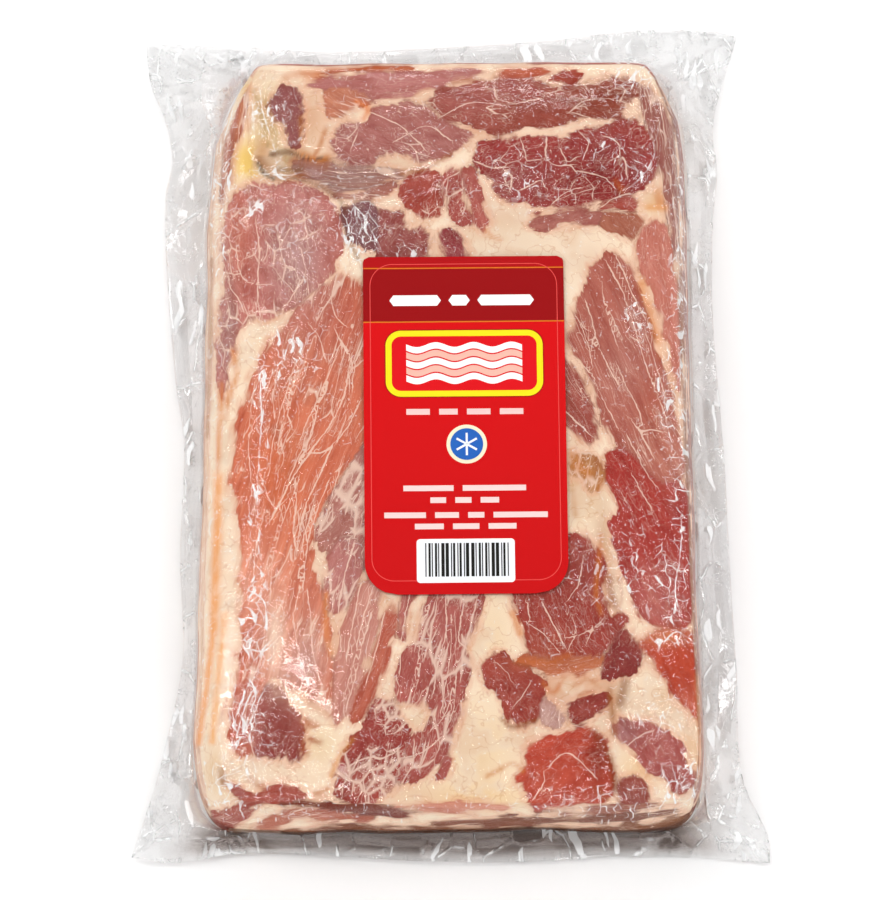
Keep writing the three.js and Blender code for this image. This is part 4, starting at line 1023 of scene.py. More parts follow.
    glintSlivers = add("TexVoronoi", {"Vector": narrow, "Scale": perMm / 1.1},
            voronoi_dimensions="2D").outputs["Color"]
    glintSlivers = add("SeparateXYZ", {0: glintSlivers})
    glintSlivers = add("Math", {0: liftedShine, 1: 0.13, 2: glintSlivers}, operation="MULTIPLY_ADD")
    glintSlivers = add("MapRange", {"Value": glintSlivers, "From Min": 1.0, "From Max": 1.04})
    glintSpecks = add("TexVoronoi", {"Vector": place, "Scale": perMm / 3.4}, voronoi_dimensions="2D")
    glintDot = add("MapRange", {"Value": glintSpecks.outputs["Distance"], "From Min": 0.12, "From Max": 0.07})
    chosen = add("SeparateXYZ", {0: glintSpecks.outputs["Color"]}).outputs[1]
    chosen = add("Math", {0: chosen, 1: 0.84}, operation="GREATER_THAN")
    glintDot = add("Math", {0: glintDot, 1: chosen}, operation="MULTIPLY")
    # painted glints along the pleats
    pleatGlint = add("Math", {0: read["pleatAcross"]["Fac"], 1: wobble}, operation="ADD")
    pleatGlint = add("Math", {0: pleatGlint}, operation="ABSOLUTE")
    pleatGlint = add("MapRange", {"Value": pleatGlint, "From Min": 0.34, "From Max": 0.14})
    pleatGlintBreak = add("MapRange", {"Value": glintDashes, "To Min": 0.25})
    pleatGlint = add("Math", {0: pleatGlint, 1: pleatGlintBreak}, operation="MULTIPLY")
    for mark in (glintSlivers, glintDot, pleatGlint):
        paintedGlints = add("Math", {0: paintedGlints, 1: mark}, operation="MAXIMUM")
    glintShowing = add("MapRange", {"Value": liftedShine, "From Min": 0.02, "From Max": 0.5, "To Min": 0.45,
            "To Max": 0.95})
    glintPresent = add("Math", {0: liftedShine, 1: 0.02}, operation="GREATER_THAN")
    glintShowing = add("Math", {0: glintShowing, 1: glintPresent}, operation="MULTIPLY")
    paintedGlints = add("Math", {0: paintedGlints, 1: glintShowing}, operation="MULTIPLY")
    # all of it a shade deeper and warmer, because the film in front of it pales it
    whole = add("Mix", {0: 1.0, mixA: whole, mixB: colour("F9F2EF")}, data_type="RGBA", blend_type="MULTIPLY")
    # the painted glints go over all of it in near white
    whole = add("Mix", {0: paintedGlints, mixA: whole, mixB: colour("FAF8F7")}, data_type="RGBA")

    grainRise = add("Math", {0: fibres.outputs["Fac"], 1: leanMask}, operation="MULTIPLY")
    rise = add("Math", {0: clouds.outputs["Fac"], 1: 0.5, 2: grainRise}, operation="MULTIPLY_ADD")
    bump = add("Bump", {"Height": rise, "Strength": 0.6, "Distance": 0.5 * mm})
    skin = add("BsdfPrincipled", {"Base Color": whole, "Roughness": 0.5, "IOR": 1.4,
            "Specular IOR Level": 0.06, "Normal": bump})
    add("OutputMaterial", {"Surface": skin})
    return material


# Clear polyamide and polyethylene pouch film, blown, 0.1 mm: nearly colourless, thin enough not to bend what
# is behind it, greyer in the border where two sheets lie together, and with a hard bright shine that breaks
# up wherever the vacuum has gathered it into fine wrinkles.
def clearFilmMaterial():
    material, add = newMaterial("clearPouchFilm")
    place = add("TexCoord").outputs["Object"]
    gather, loose, drawn, footShade, shine, fan = (
        add("Attribute", attribute_name=name).outputs["Fac"]
        for name in ("gather", "loose", "drawn", "footShade", "shine", "fan"))
    along = add("Attribute", attribute_name="filmRun").outputs["Vector"]
    wrinkles = add("TexNoise", {"Vector": place, "Scale": perMm / 5, "Detail": 3.0, "Distortion": 1.2})
    # crests of a folded noise, which stand about 4 mm apart as the gathered film's do
    crests = add("MapRange", {"Value": fromMiddle(add, wrinkles), "From Max": 0.16, "To Min": 1.0,
            "To Max": 0.0}, interpolation_type="SMOOTHSTEP")
    calm = add("MapRange", {"Value": loose, "To Min": 1.0, "To Max": 0.25})
    gathered = add("Math", {0: crests, 1: gather}, operation="MULTIPLY")
    gathered = add("Math", {0: gathered, 1: calm}, operation="MULTIPLY")
    # long lines of tension, 2 mm apart and some 30 mm long, where the film is drawn over the sides
    long = add("VectorMath", {0: along, 1: (1 / 30, 1 / 2, 0)}, operation="MULTIPLY")
    lines = add("TexNoise", {"Vector": long, "Scale": 1.0, "Detail": 3.0, "Roughness": 0.6})
    tension = add("Math", {0: lines.outputs["Fac"], 1: drawn}, operation="MULTIPLY")
    # where it is loose, handled film falls into flat facets of 16 mm with a sharp crease between them
    facetScale = perMm / 16
    bent = add("TexNoise", {"Vector": place, "Scale": perMm / 30}).outputs["Color"]
    bent = add("VectorMath", {0: bent, "Scale": 14 * mm}, operation="SCALE")
    bent = add("VectorMath", {0: place, 1: bent}, operation="ADD")
    bent = add("VectorMath", {0: bent, 1: (1.0, 0.6, 1.0)}, operation="MULTIPLY")
    crease = add("TexVoronoi", {"Vector": bent, "Scale": facetScale}, voronoi_dimensions="2D",
            feature="DISTANCE_TO_EDGE").outputs["Distance"]
    crease = add("MapRange", {"Value": crease, "From Min": 0.05, "From Max": 0.0},
            interpolation_type="SMOOTHSTEP")
    crease = add("Math", {0: crease, 1: loose}, operation="MULTIPLY")
    height = add("Math", {0: gathered, 1: tension}, operation="ADD")
    height = add("Math", {0: height, 1: crease}, operation="ADD")
    bump = add("Bump", {"Height": height, "Strength": 1.0, "Distance": 0.45 * mm})
    facets = add("TexVoronoi", {"Vector": bent, "Scale": facetScale},
            voronoi_dimensions="2D").outputs["Color"]
    tilt = add("VectorMath", {0: facets, 1: (0.5, 0.5, 0.5)}, operation="SUBTRACT")
    tiltShare = add("Math", {0: loose, 1: 0.45}, operation="MULTIPLY")
    tilt = add("VectorMath", {0: tilt, "Scale": tiltShare}, operation="SCALE")
    leaning = add("VectorMath", {0: bump, 1: tilt}, operation="ADD")
    leaning = add("VectorMath", {0: leaning}, operation="NORMALIZE")
    # where it clings only the film's outer face shines; where it is loose both faces do
    glance = add("Fresnel", {"IOR": 1.5, "Normal": leaning})
    liftedShine = add("Math", {0: loose, 1: 0.35}, operation="MULTIPLY")
    liftedShine = add("Math", {0: gather, 1: liftedShine}, operation="MAXIMUM")
    faces = add("Math", {0: liftedShine, 1: 1.0}, operation="ADD")
    share = add("Math", {0: glance, 1: faces}, operation="MULTIPLY")
    share = add("Math", {0: share, 1: 0.34}, operation="MINIMUM")
    share = add("Math", {0: share, 1: shine}, operation="MULTIPLY")
    # each facet of the loose film passes a little more or less light
    facetTone = add("SeparateXYZ", {0: facets})
    passed = add("MapRange", {"Value": facetTone, "To Min": 0.965})
    # painted glints: white marks along the creases and fans and on single slivers of the loose film, in short
    # lengths, standing in for its shine
    creaseGlint = add("MapRange", {"Value": crease, "From Min": 0.3})
    wrinkleGlint = add("MapRange", {"Value": crests, "From Min": 0.95, "From Max": 0.99, "To Max": 0.5})
    breaks = add("TexNoise", {"Vector": place, "Scale": perMm / 8}).outputs["Fac"]
    breaks = add("MapRange", {"Value": breaks, "From Min": 0.48, "From Max": 0.58})
    paintedFilmGlints = add("Math", {0: creaseGlint, 1: wrinkleGlint}, operation="MAXIMUM")
    paintedFilmGlints = add("Math", {0: paintedFilmGlints, 1: breaks}, operation="MULTIPLY")
    narrow = add("VectorMath", {0: bent, 1: (1.0, 0.4, 1.0)}, operation="MULTIPLY")
    sliverGlint = add("TexVoronoi", {"Vector": narrow, "Scale": perMm / 1.7},
            voronoi_dimensions="2D").outputs["Color"]
    sliverGlint = add("SeparateXYZ", {0: sliverGlint})
    sliverGlint = add("MapRange", {"Value": sliverGlint, "From Min": 0.95, "From Max": 0.955})
    fanGlint = add("MapRange", {"Value": fan, "From Min": 0.76, "From Max": 0.9})
    fanGlint = add("Math", {0: fanGlint, 1: breaks}, operation="MULTIPLY")
    for mark in (sliverGlint, fanGlint):
        paintedFilmGlints = add("Math", {0: paintedFilmGlints, 1: mark}, operation="MAXIMUM")
    paintedFilmGlints = add("Math", {0: paintedFilmGlints, 1: loose}, operation="MULTIPLY")
    # the painted glints fade under the painted foot shadow
    awayFromFootShade = add("MapRange", {"Value": footShade, "To Min": 0.9, "To Max": 0.35})
    paintedGlintShare = add("Math", {0: paintedFilmGlints, 1: awayFromFootShade}, operation="MULTIPLY")
    share = add("Math", {0: share, 1: paintedGlintShare}, operation="MAXIMUM")
    # where the painted glints lie the film turns from mirror to rough white, so that they show from every
    # side
    mirror = add("Math", {0: 1.0, 1: paintedFilmGlints}, operation="SUBTRACT")
    dullness = add("Math", {0: paintedFilmGlints, 1: 0.4, 2: 0.04}, operation="MULTIPLY_ADD")
    passed = add("CombineXYZ", {0: passed, 1: passed, 2: passed})
    haze = add("Mix", {0: loose, mixA: (0.99, 0.99, 0.99, 1), mixB: passed}, data_type="RGBA")
    # painted shadow and reflection: a dark brownish tint in the border close to the block's foot, for the
    # block's shadow and the meat mirrored in the film
    haze = add("Mix", {0: footShade, mixA: haze, mixB: (0.47, 0.40, 0.37, 1)}, data_type="RGBA")
    clear = add("BsdfTransparent", {"Color": haze})
    gloss = add("BsdfPrincipled", {"Base Color": (1, 1, 1, 1), "Metallic": mirror, "Roughness": dullness,
            "Normal": leaning})
    both = add("MixShader", {0: share, 1: clear, 2: gloss})
    add("OutputMaterial", {"Surface": both})
    return material


# The film pouch: tight over the block, then a loose crumpled border that ends in an ear at each corner
pouch = {
    "cellsAcross": 148, "cellsAlong": 236, "shoulderRings": 13, "borderRings": 22, "footRings": 4,
    "underRings": 3, "innerGap": 1.4, "rimGap": 0.25, "floorGap": 0.15, "crumple": 19,
    # fans of creases: the block's corner, creases in a whole turn, where in a turn they start
    "fans": [((-97, -158), 17, 0.1), ((97, -157), 15, 0.35), ((91, 143), 16, 0.6), ((-90, 142), 18, 0.8)],
    # where the vacuum has gathered the film on the face: middle, reach, strength
    "gathers": [
        ((-78, 84), (6, 6), 1.0), ((-36, 74), (8, 14), 1.1), ((-17, 64), (6, 4), 1.0),
        ((-75, 4), (2.6, 26), 1.2), ((-64, 22), (10, 14), 0.7), ((-77, -40), (3.5, 20), 0.8),
        ((-77, -86), (6, 20), 1.2), ((-80, -124), (8, 18), 1.0), ((-70, 99), (8, 4), 1.1),
        ((-73, 124), (7, 10), 0.7), ((86, 4), (4, 18), 1.1), ((90, -30), (4, 26), 0.9),
        ((87, -70), (6, 18), 1.0), ((88, -94), (8, 5), 0.9), ((76, 100), (6, 12), 0.8),
        ((62, 108), (10, 8), 0.6), ((30, 96), (14, 10), 0.5), ((84, -124), (10, 8), 0.6),
        ((50, -66), (10, 14), 0.4), ((68, -66), (12, 20), 0.5), ((-86, -150), (8, 8), 1.0),
        ((92, 60), (4, 60), 0.7), ((-92, 100), (5, 40), 0.9), ((60, -158), (24, 5), 0.8),
        ((76, 140), (10, 8), 1.0), ((90, -152), (10, 8), 1.0), ((-58, 72), (12, 20), 0.35),
        ((74, 36), (5, 10), 0.8),
    ],
    # single pleats that catch the light: line, height, half width
    "pleats": [
        ([(78, -127), (86, -129), (91, -136), (94, -149)], 1.0, 1.3),
        ([(79, 118), (82, 108), (79, 100), (72, 92)], 0.9, 1.6),
        ([(-76, 14), (-75, -4), (-76, -22), (-76.5, -40)], 0.6, 1.2),
        ([(-72, 12), (-66, 22), (-61, 34)], 0.6, 1.1), ([(-80, -98), (-74, -99), (-70, -96)], 0.8, 1.3),
        ([(-84, -134), (-80, -120), (-75, -111)], 0.6, 1.0),
        ([(-86, -139), (-79, -128), (-73, -114)], 0.6, 1.0), ([(-82, 80), (-77, 84), (-73, 89)], 0.9, 1.5),
        ([(-40, 86), (-35, 80), (-31, 72), (-27, 64)], 0.8, 1.6),
        ([(91, -48), (90, -62), (88, -74), (90, -84)], 0.6, 1.2),
        ([(84, -95), (88, -91), (94, -94)], 0.6, 1.3), ([(80, 148), (74, 140), (70, 137)], 0.9, 1.4),
        ([(90, 140), (86, 126), (82, 112)], 0.7, 1.3), ([(-70, 112), (-62, 112), (-59, 117)], 0.6, 1.0),
        ([(-77, 134), (-75, 122), (-71, 109)], 0.8, 0.9), ([(-80, 128), (-79, 114)], 0.7, 0.8),
        ([(-68, 110), (-62, 110.5), (-58, 117)], 0.9, 0.9), ([(-73, 100), (-66, 99.4), (-60, 100)], 0.8, 0.9),
        ([(-58, 101), (-44, 97.6), (-30, 98)], 0.6, 0.9), ([(-52, 96), (-40, 93), (-28, 95)], 0.6, 0.9),
        ([(-88, 134), (-90, 124), (-92, 116)], 0.9, 1.0), ([(-80, -74), (-74, -78), (-72, -86)], 0.8, 0.9),
        ([(-79, -112), (-83, -122), (-86, -138)], 0.8, 0.8),
        ([(-76, -116), (-80, -128), (-84, -138)], 0.7, 0.8), ([(92, 20), (91, 0), (92, -20)], 0.5, 1.2),
        ([(-84, -146), (-79, -143), (-76, -141)], 0.7, 1.2),
    ],
}


def cornerFans(x, y):  # straight creases that run from each corner of the block into the pouch's ear
    relief = np.zeros(len(x))
    crests = np.zeros(len(x))
    for (cx, cy), creases, start in pouch["fans"]:
        away = np.hypot(x - cx, y - cy)
        heading = np.arctan2(y - cy, x - cx) / (2 * math.pi) + start
        uneven = heading * creases + 0.35 * np.sin(heading * 31) + 0.25 * np.sin(heading * 53 + 1)
        strength = smooth(3, 16, away) * (1 - smooth(26, 52, away))
        relief += strength * (3.6 * wave(uneven) + 0.5 * wave(uneven * 2.3 + away / 30) - 1.8)
        crests = np.maximum(crests, smooth(2, 8, away) * (1 - smooth(34, 56, away)) * wave(uneven))
    return relief, crests


def creased(x, y, pitch, seed):  # flat facets that meet in sharp creases, as handled film has
    bend = roughness(x, y, pitch * 1.6, seed)
    relief = np.zeros(len(x))
    for number, heading in enumerate((0.35, 1.45, 2.5)):
        turns = (x * math.cos(heading) + y * math.sin(heading)) / (pitch * (1 + 0.35 * number))
        relief += wave(turns + 0.55 * bend + 0.37 * number + seed) / (1 + 0.5 * number)
    return relief / 2.2 - 0.5


# The label: a sheet stuck on the film, in line with the pack but for half a degree
label = {"width": 80, "length": 139, "centre": (5.6, -7), "turn": 0.6, "headRadius": 2.5, "footRadius": 13,
         "backLift": 0.3, "cellsAcross": 40, "cellsAlong": 90, "paper": 0.3}


def labelPlace(across, along):  # a place on the label as a place on the pack
    turn = math.radians(label["turn"])
    x = label["centre"][0] + across * math.cos(turn) - along * math.sin(turn)
    y = label["centre"][1] + across * math.sin(turn) + along * math.cos(turn)
    return x, y


def labelCover(x, y, margin):  # 1 under the label, 0 a few millimetres outside it
    dx, dy = x - label["centre"][0], y - label["centre"][1]
    outside = np.maximum(np.abs(dx) - label["width"] / 2, np.abs(dy) - label["length"] / 2)
    return 1 - smooth(0, margin, outside)


def gatherAt(x, y):  # how far the vacuum has gathered the film over each place of the face
    gathered = np.zeros(len(x))
    for middle, reach, strength in pouch["gathers"]:
        gathered = np.maximum(gathered, strength * spot(x, y, middle, reach))
    return gathered


def pleatDistance(x, y):  # signed distance to the nearest pleat
    best = np.full(len(x), 99.0)
    for points, _, _ in pouch["pleats"]:
        distance, side = lineDistance(x, y, flowingLine(points, 6))
        best = np.where(distance < np.abs(best), distance * side, best)
    return best


def buildPouch(p):
    rings = p["shoulderRings"] + 2 * p["borderRings"] + p["footRings"] + p["underRings"] + 1
    piece = ringedBlank("filmPouch", p["cellsAcross"], p["cellsAlong"], rings)
    u, v, ring, sideX, sideY, x, y, z = overShoulder(piece, p["shoulderRings"], 0.8)
    middle = (np.maximum(np.abs(u), np.abs(v)) < 1e-6) & (ring > 0)
    rimX, rimY = rimPoint(u, v)

    # out along the border's upper film to the rim, and back along the lower one
    out = ring - p["shoulderRings"]
    share = np.where(out <= p["borderRings"], out, 2 * p["borderRings"] - out) / p["borderRings"]
    share = np.clip(share, 0, 1)
    inBorder = (out > 0) & (out <= 2 * p["borderRings"])
    lowerFilm = out > p["borderRings"]
    borderX, borderY = sideX + (rimX - sideX) * share, sideY + (rimY - sideY) * share
    lift = borderHeight(u, v, share)
    fans, fanCrests = cornerFans(borderX, borderY)
    loose = smooth(0.0, 0.35, share) * (1 - 0.5 * smooth(0.8, 1.0, share))
    around = np.arctan2(borderY / 160, borderX / 105) * 130
    folds = wave(share * 2.2 + 0.5 * roughness(around, share * 8, 26, 3.0)) - 0.5
    crumple = 1.9 * creased(borderX, borderY, p["crumple"], 1.7) + 1.6 * folds
    upper = lift + loose * (crumple + fans)
    lowerCrumple = 1.2 * creased(borderX, borderY, p["crumple"], 7.3) + 0.6 * fans
    gap = p["innerGap"] * (1 - share) + p["rimGap"]
    lower = np.minimum(lift - gap + loose * lowerCrumple * 0.6, upper - gap * 0.7)
    upperSafe = np.maximum(upper, p["floorGap"] + p["rimGap"])
    lowerSafe = np.maximum(lower, p["floorGap"])
    rimHeight = np.maximum(upper - 0.2, p["floorGap"] + 0.2)
    borderZ = np.where(lowerFilm, np.minimum(lowerSafe, upperSafe - 0.12), upperSafe)
    borderZ = np.where(share > 0.999, rimHeight, borderZ)
    x, y, z = np.where(inBorder, borderX, x), np.where(inBorder, borderY, y), np.where(inBorder, borderZ, z)

    # under the block: in round the foot, then flat on the table
    footRing = ring - p["shoulderRings"] - 2 * p["borderRings"]
    low = footRing > 0
    foot = np.clip(footRing / p["footRings"], 0, 1) * math.pi / 2
    drawn = roundTheFoot(sideX, sideY, v, foot)
    start = form["waistHeight"] - p["innerGap"]
    under = np.clip((footRing - p["footRings"]) / (p["underRings"] + 1), 0, 1)
    x, y = np.where(low, sideX * drawn * (1 - under), x), np.where(low, sideY * drawn * (1 - under), y)
    z = np.where(low, p["floorGap"] + (start - p["floorGap"]) * (1 - np.sin(foot)), z)
    x, y, z = np.where(middle, 0, x), np.where(middle, 0, y), np.where(middle, p["floorGap"], z)

    # the face and shoulder follow the muscles under them, and pleat and gather where the photo shows it
    gather = np.zeros(len(x))
    onBlock = ring <= p["shoulderRings"]
    fx, fy = x[onBlock], y[onBlock]
    depth = readMuscles(fx, fy)[0]
    bare = 1 - labelCover(fx, fy, 5)
    pleat = np.zeros(len(fx))
    for points, height, half in p["pleats"]:
        distance, _ = lineDistance(fx, fy, flowingLine(points, 6))
        pleat = np.maximum(pleat, height * np.exp(-((distance / half) ** 2)))
    patches = gatherAt(fx, fy)
    fine = 0.5 * creased(fx, fy, 5, 2.2) * (0.25 + patches)
    edgeFade = 1 - smooth(0.55, 1.0, np.clip(ring[onBlock] / p["shoulderRings"], 0, 1))
    z[onBlock] += bare * edgeFade * (muscleRelief(depth) + pleat + fine)
    last = p["shoulderRings"]
    strands = smooth(1, 5, ring[onBlock]) * (1 - smooth(last - 4, last, ring[onBlock]))
    gather[onBlock] = bare * np.clip(0.07 + 0.8 * patches + 0.2 * strands, 0, 1.1)
    gather[inBorder] = 0.45
    loose = np.where(onBlock, 0.12 * smooth(8, p["shoulderRings"], ring), 1.0)
    drawn = np.where(onBlock, smooth(1, 4, ring), np.where(inBorder, 0.2, 0.0))
    spread = (1 - smooth(0.3, 1.0, share)) * (1 - smooth(0.8, 0.98, np.abs(u)))
    # painted shadow and reflection: how strongly the border just beyond the block's foot is tinted dark
    footShade = np.where(inBorder & (v < -0.999), spread, 0.0)
    arc = np.where(onBlock, ring * 3.0, 40 + share * 18)
    setPoints(piece, x, y, z)
    # juice wets the film to the steep sides and dulls it there, most at the foot
    wetted = np.where(onBlock, smooth(1, 6, ring), np.where(inBorder, 0, 1))
    shine = 1 - wetted * (0.4 + 0.35 * smooth(0.9, 1.0, -v))
    for name, values in {"gather": gather, "loose": loose, "drawn": drawn, "footShade": footShade, "shine": shine,
                         "fan": np.where(inBorder, fanCrests, 0)}.items():
        giveNumbers(piece, name, values)
    giveVectors(piece, "filmRun", np.stack([around, arc, np.zeros(len(x))], axis=1))
    finishSurface(piece)
    return piece


# Glossy paper label, printed in flat inks and varnished: even colour, crisp edges and a soft broad shine
def printedPaperMaterial():
    material, add = newMaterial("varnishedLabelPaper")
    place = add("Attribute", attribute_name="labelPlace").outputs["Vector"]
    parts = add("SeparateXYZ", {0: place}).outputs

    def insideBox(centre, half, radius):  # distance outside a rounded box, negative inside it
        moved = add("VectorMath", {0: place, 1: (*centre, 0)}, operation="SUBTRACT")
        folded = add("VectorMath", {0: moved}, operation="ABSOLUTE")
        past = add("VectorMath", {0: folded, 1: (half[0] - radius, half[1] - radius, 0)},
                operation="SUBTRACT")
        beyond = add("VectorMath", {0: past, 1: (0, 0, 0)}, operation="MAXIMUM")
        length = add("VectorMath", {0: beyond}, operation="LENGTH").outputs["Value"]
        return add("Math", {0: length, 1: radius}, operation="SUBTRACT")

    # red ground, a little deeper towards the foot
    fade = add("MapRange", {"Value": parts[1], "From Min": -69.5, "From Max": 45.0})
    ink = add("Mix", {0: fade, mixA: colour("C2060A"), mixB: colour("D2070D")}, data_type="RGBA")
    headMargin = add("Math", {0: parts[1], 1: 64.7}, operation="GREATER_THAN")
    headBand = add("Math", {0: parts[1], 1: 53.5, 2: 11.1}, operation="COMPARE")
    layers = [(headMargin, "AC0B10"), (headBand, "94070B")]
    for height in (64.7, 42.3):
        rule = add("Math", {0: parts[1], 1: height, 2: 0.24}, operation="COMPARE")
        layers.append((rule, "D8741F"))
    hem = insideBox((0, 1.2), (37.2, 65.2), 9)
    layers.append((add("Math", {0: hem, 1: 0.0, 2: 0.16}, operation="COMPARE"), "E04C48"))
    # the panel: a soft shade round it, yellow border, red ground; below it the pale patch under the bars
    panel = insideBox((0, 25), (31, 13.5), 6)
    panelShade = add("MapRange", {"Value": panel, "From Min": 0.9, "From Max": 0.1})
    layers.append((panelShade, "6A0A0C"))
    barPatch = insideBox((-0.3, -56), (19.3, 8.9), 1.5)
    for box, edge, code in ((panel, 0.2, "F3DF1C"), (panel, -2.2, "D90F18"), (barPatch, 0.0, "F1F2F6")):
        layers.append((add("Math", {0: box, 1: edge}, operation="LESS_THAN"), code))
    for mask, code in layers:
        ink = add("Mix", {0: mask, mixA: ink, mixB: colour(code)}, data_type="RGBA")

    onPack = add("TexCoord").outputs["Object"]
    ply = add("TexNoise", {"Vector": onPack, "Scale": perMm / 9, "Detail": 3.0})
    bump = add("Bump", {"Height": ply.outputs["Fac"], "Strength": 0.35, "Distance": 0.4 * mm})
    sheet = add("BsdfPrincipled", {"Base Color": ink, "Roughness": 0.5, "IOR": 1.48,
            "Specular IOR Level": 0.08, "Normal": bump, "Coat Weight": 0.08, "Coat Roughness": 0.12})
    add("OutputMaterial", {"Surface": sheet})
    return material


# Opaque screen ink on the varnished paper: a hair proud of the sheet, even and satin
def screenInkMaterial():
    material, add = newMaterial("screenInk")
    tone = add("Attribute", attribute_name="inkTone").outputs["Color"]
    place = add("TexCoord").outputs["Object"]
    grit = add("TexNoise", {"Vector": place, "Scale": perMm / 0.8})
    thin = add("MapRange", {"Value": grit.outputs["Fac"], "To Min": 0.92})
    laid = add("VectorMath", {0: tone, "Scale": thin}, operation="SCALE")
    ink = add("BsdfPrincipled", {"Base Color": laid, "Roughness": 0.5, "IOR": 1.48,
            "Specular IOR Level": 0.2})
    add("OutputMaterial", {"Surface": ink})
    return material


def sheetHeight(x, y):  # the label's back, a little off the film and not quite even
    return faceHeight(x, y) + label["backLift"] + 0.12 * roughness(x, y, 28, 9.0)


def labelHalfWidth(along):
    radius = np.where(along < 0, label["footRadius"], label["headRadius"])
    past = np.maximum(np.abs(along) - (label["length"] / 2 - radius), 0)
    cut = radius - np.sqrt(np.maximum(radius ** 2 - past ** 2, 0))
    return label["width"] / 2 - np.where(past > 0, cut, 0)


def buildLabel():
    sheet = flatBlank(label["cellsAcross"], label["cellsAlong"])
    sheet.name = sheet.data.name = "labelSheet"
    blank = readPoints(sheet)
    # rows lie closer together towards the ends, where the corners are round
    row = np.sin(blank[:, 1] * math.pi / 2) * 0.35 + blank[:, 1] * 0.65
    up = row * label["length"] / 2
    out = blank[:, 0] * labelHalfWidth(up)
    x, y = labelPlace(out, up)
    setPoints(sheet, x, y, sheetHeight(x, y))
    giveVectors(sheet, "labelPlace", np.stack([out, up, np.zeros(len(out))], axis=1))
    thicken = sheet.modifiers.new("paper", "SOLIDIFY")
    thicken.thickness = label["paper"] * mm
    thicken.offset = 1
    only(sheet)
    bpy.ops.object.modifier_apply(modifier="paper")
    finishSurface(sheet)
    bpy.ops.object.shade_smooth_by_angle(angle=math.radians(40))
    return sheet


# Printed marks: rows of plain bars, wavy rashers, a roundel and a block of stripes
prints = {
    "lift": 0.03, "thickness": 0.05, "cell": 3.2,
    # rows of bars: height up the label, bar height, colour, bars as (from, to)
    "rows": [
        (51.2, 4.4, "FFFFFF", [(-29.5, -9), (-6, 2.5), (5.5, 28)]),
        (5.0, 2.4, "F4C9C4", [(-24, -13), (-11, -2), (0, 11), (13, 24)]),
        (-26.4, 2.3, "F3D3CF", [(-25.4, -4), (-2, 24.6)]),
        (-31.3, 2.3, "F3D3CF", [(-14.8, -7), (-5, 3), (5, 13.9)]),
        (-37.4, 2.3, "F3D3CF", [(-33, -15), (-13, -2), (0, 8), (10, 33)]),
        (-42.0, 2.3, "F3D3CF", [(-21, -8), (-6, 6), (8, 20.6)]),
    ],
    "rashers": [(31.5, "FFFFFF"), (28.3, "F2B7A6"), (25.1, "FFFFFF"), (21.9, "F2B7A6"), (18.7, "FFFFFF")],
    "rasherHalf": 23, "rasherHeight": 2.6, "rasherSwing": 1.0, "rasherPitch": 15,
    "roundel": (0.6, -8.4), "roundelRadius": 8.0, "roundelRing": 1.5, "starReach": 4.6,
    "starHalf": 0.42,
    "codeFrom": -16.2, "codeTo": 16.4, "codeHeight": 13.6, "codeMiddle": -55.6, "codeModule": 0.42,
}


def layMark(mark, tone):  # a flat mark made at its place on the label becomes thin ink on the sheet
    only(mark)
    points = readPoints(mark) / mm
    count = len(points)
    x, y = labelPlace(points[:, 0], points[:, 1])
    setPoints(mark, x, y, sheetHeight(x, y) + label["paper"] + prints["lift"] + points[:, 2])
    giveColours(mark, "inkTone", np.tile(rawColour(tone), (count, 1)))
    thicken = mark.modifiers.new("ink", "SOLIDIFY")
    thicken.thickness = prints["thickness"] * mm
    thicken.offset = 1
    bpy.ops.object.modifier_apply(modifier="ink")
    return mark


def barMark(left, right, bottom, top, tone, radius=0.0, lift=0.0):
    mark = flatBlank(max(1, math.ceil((right - left) / prints["cell"])),
                     max(1, math.ceil((top - bottom) / prints["cell"])))
    p = readPoints(mark)
    half, tall = (right - left) / 2, (top - bottom) / 2
    x, y = p[:, 0] * half, p[:, 1] * tall
    ends = np.abs(p[:, 0]) > 0.999
    tips = ends & (np.abs(p[:, 1]) > 0.999)
    x = np.where(tips, np.sign(p[:, 0]) * (half - radius), x)
    setPoints(mark, (left + right) / 2 + x, (bottom + top) / 2 + y, np.full(len(x), lift))
    return layMark(mark, tone)


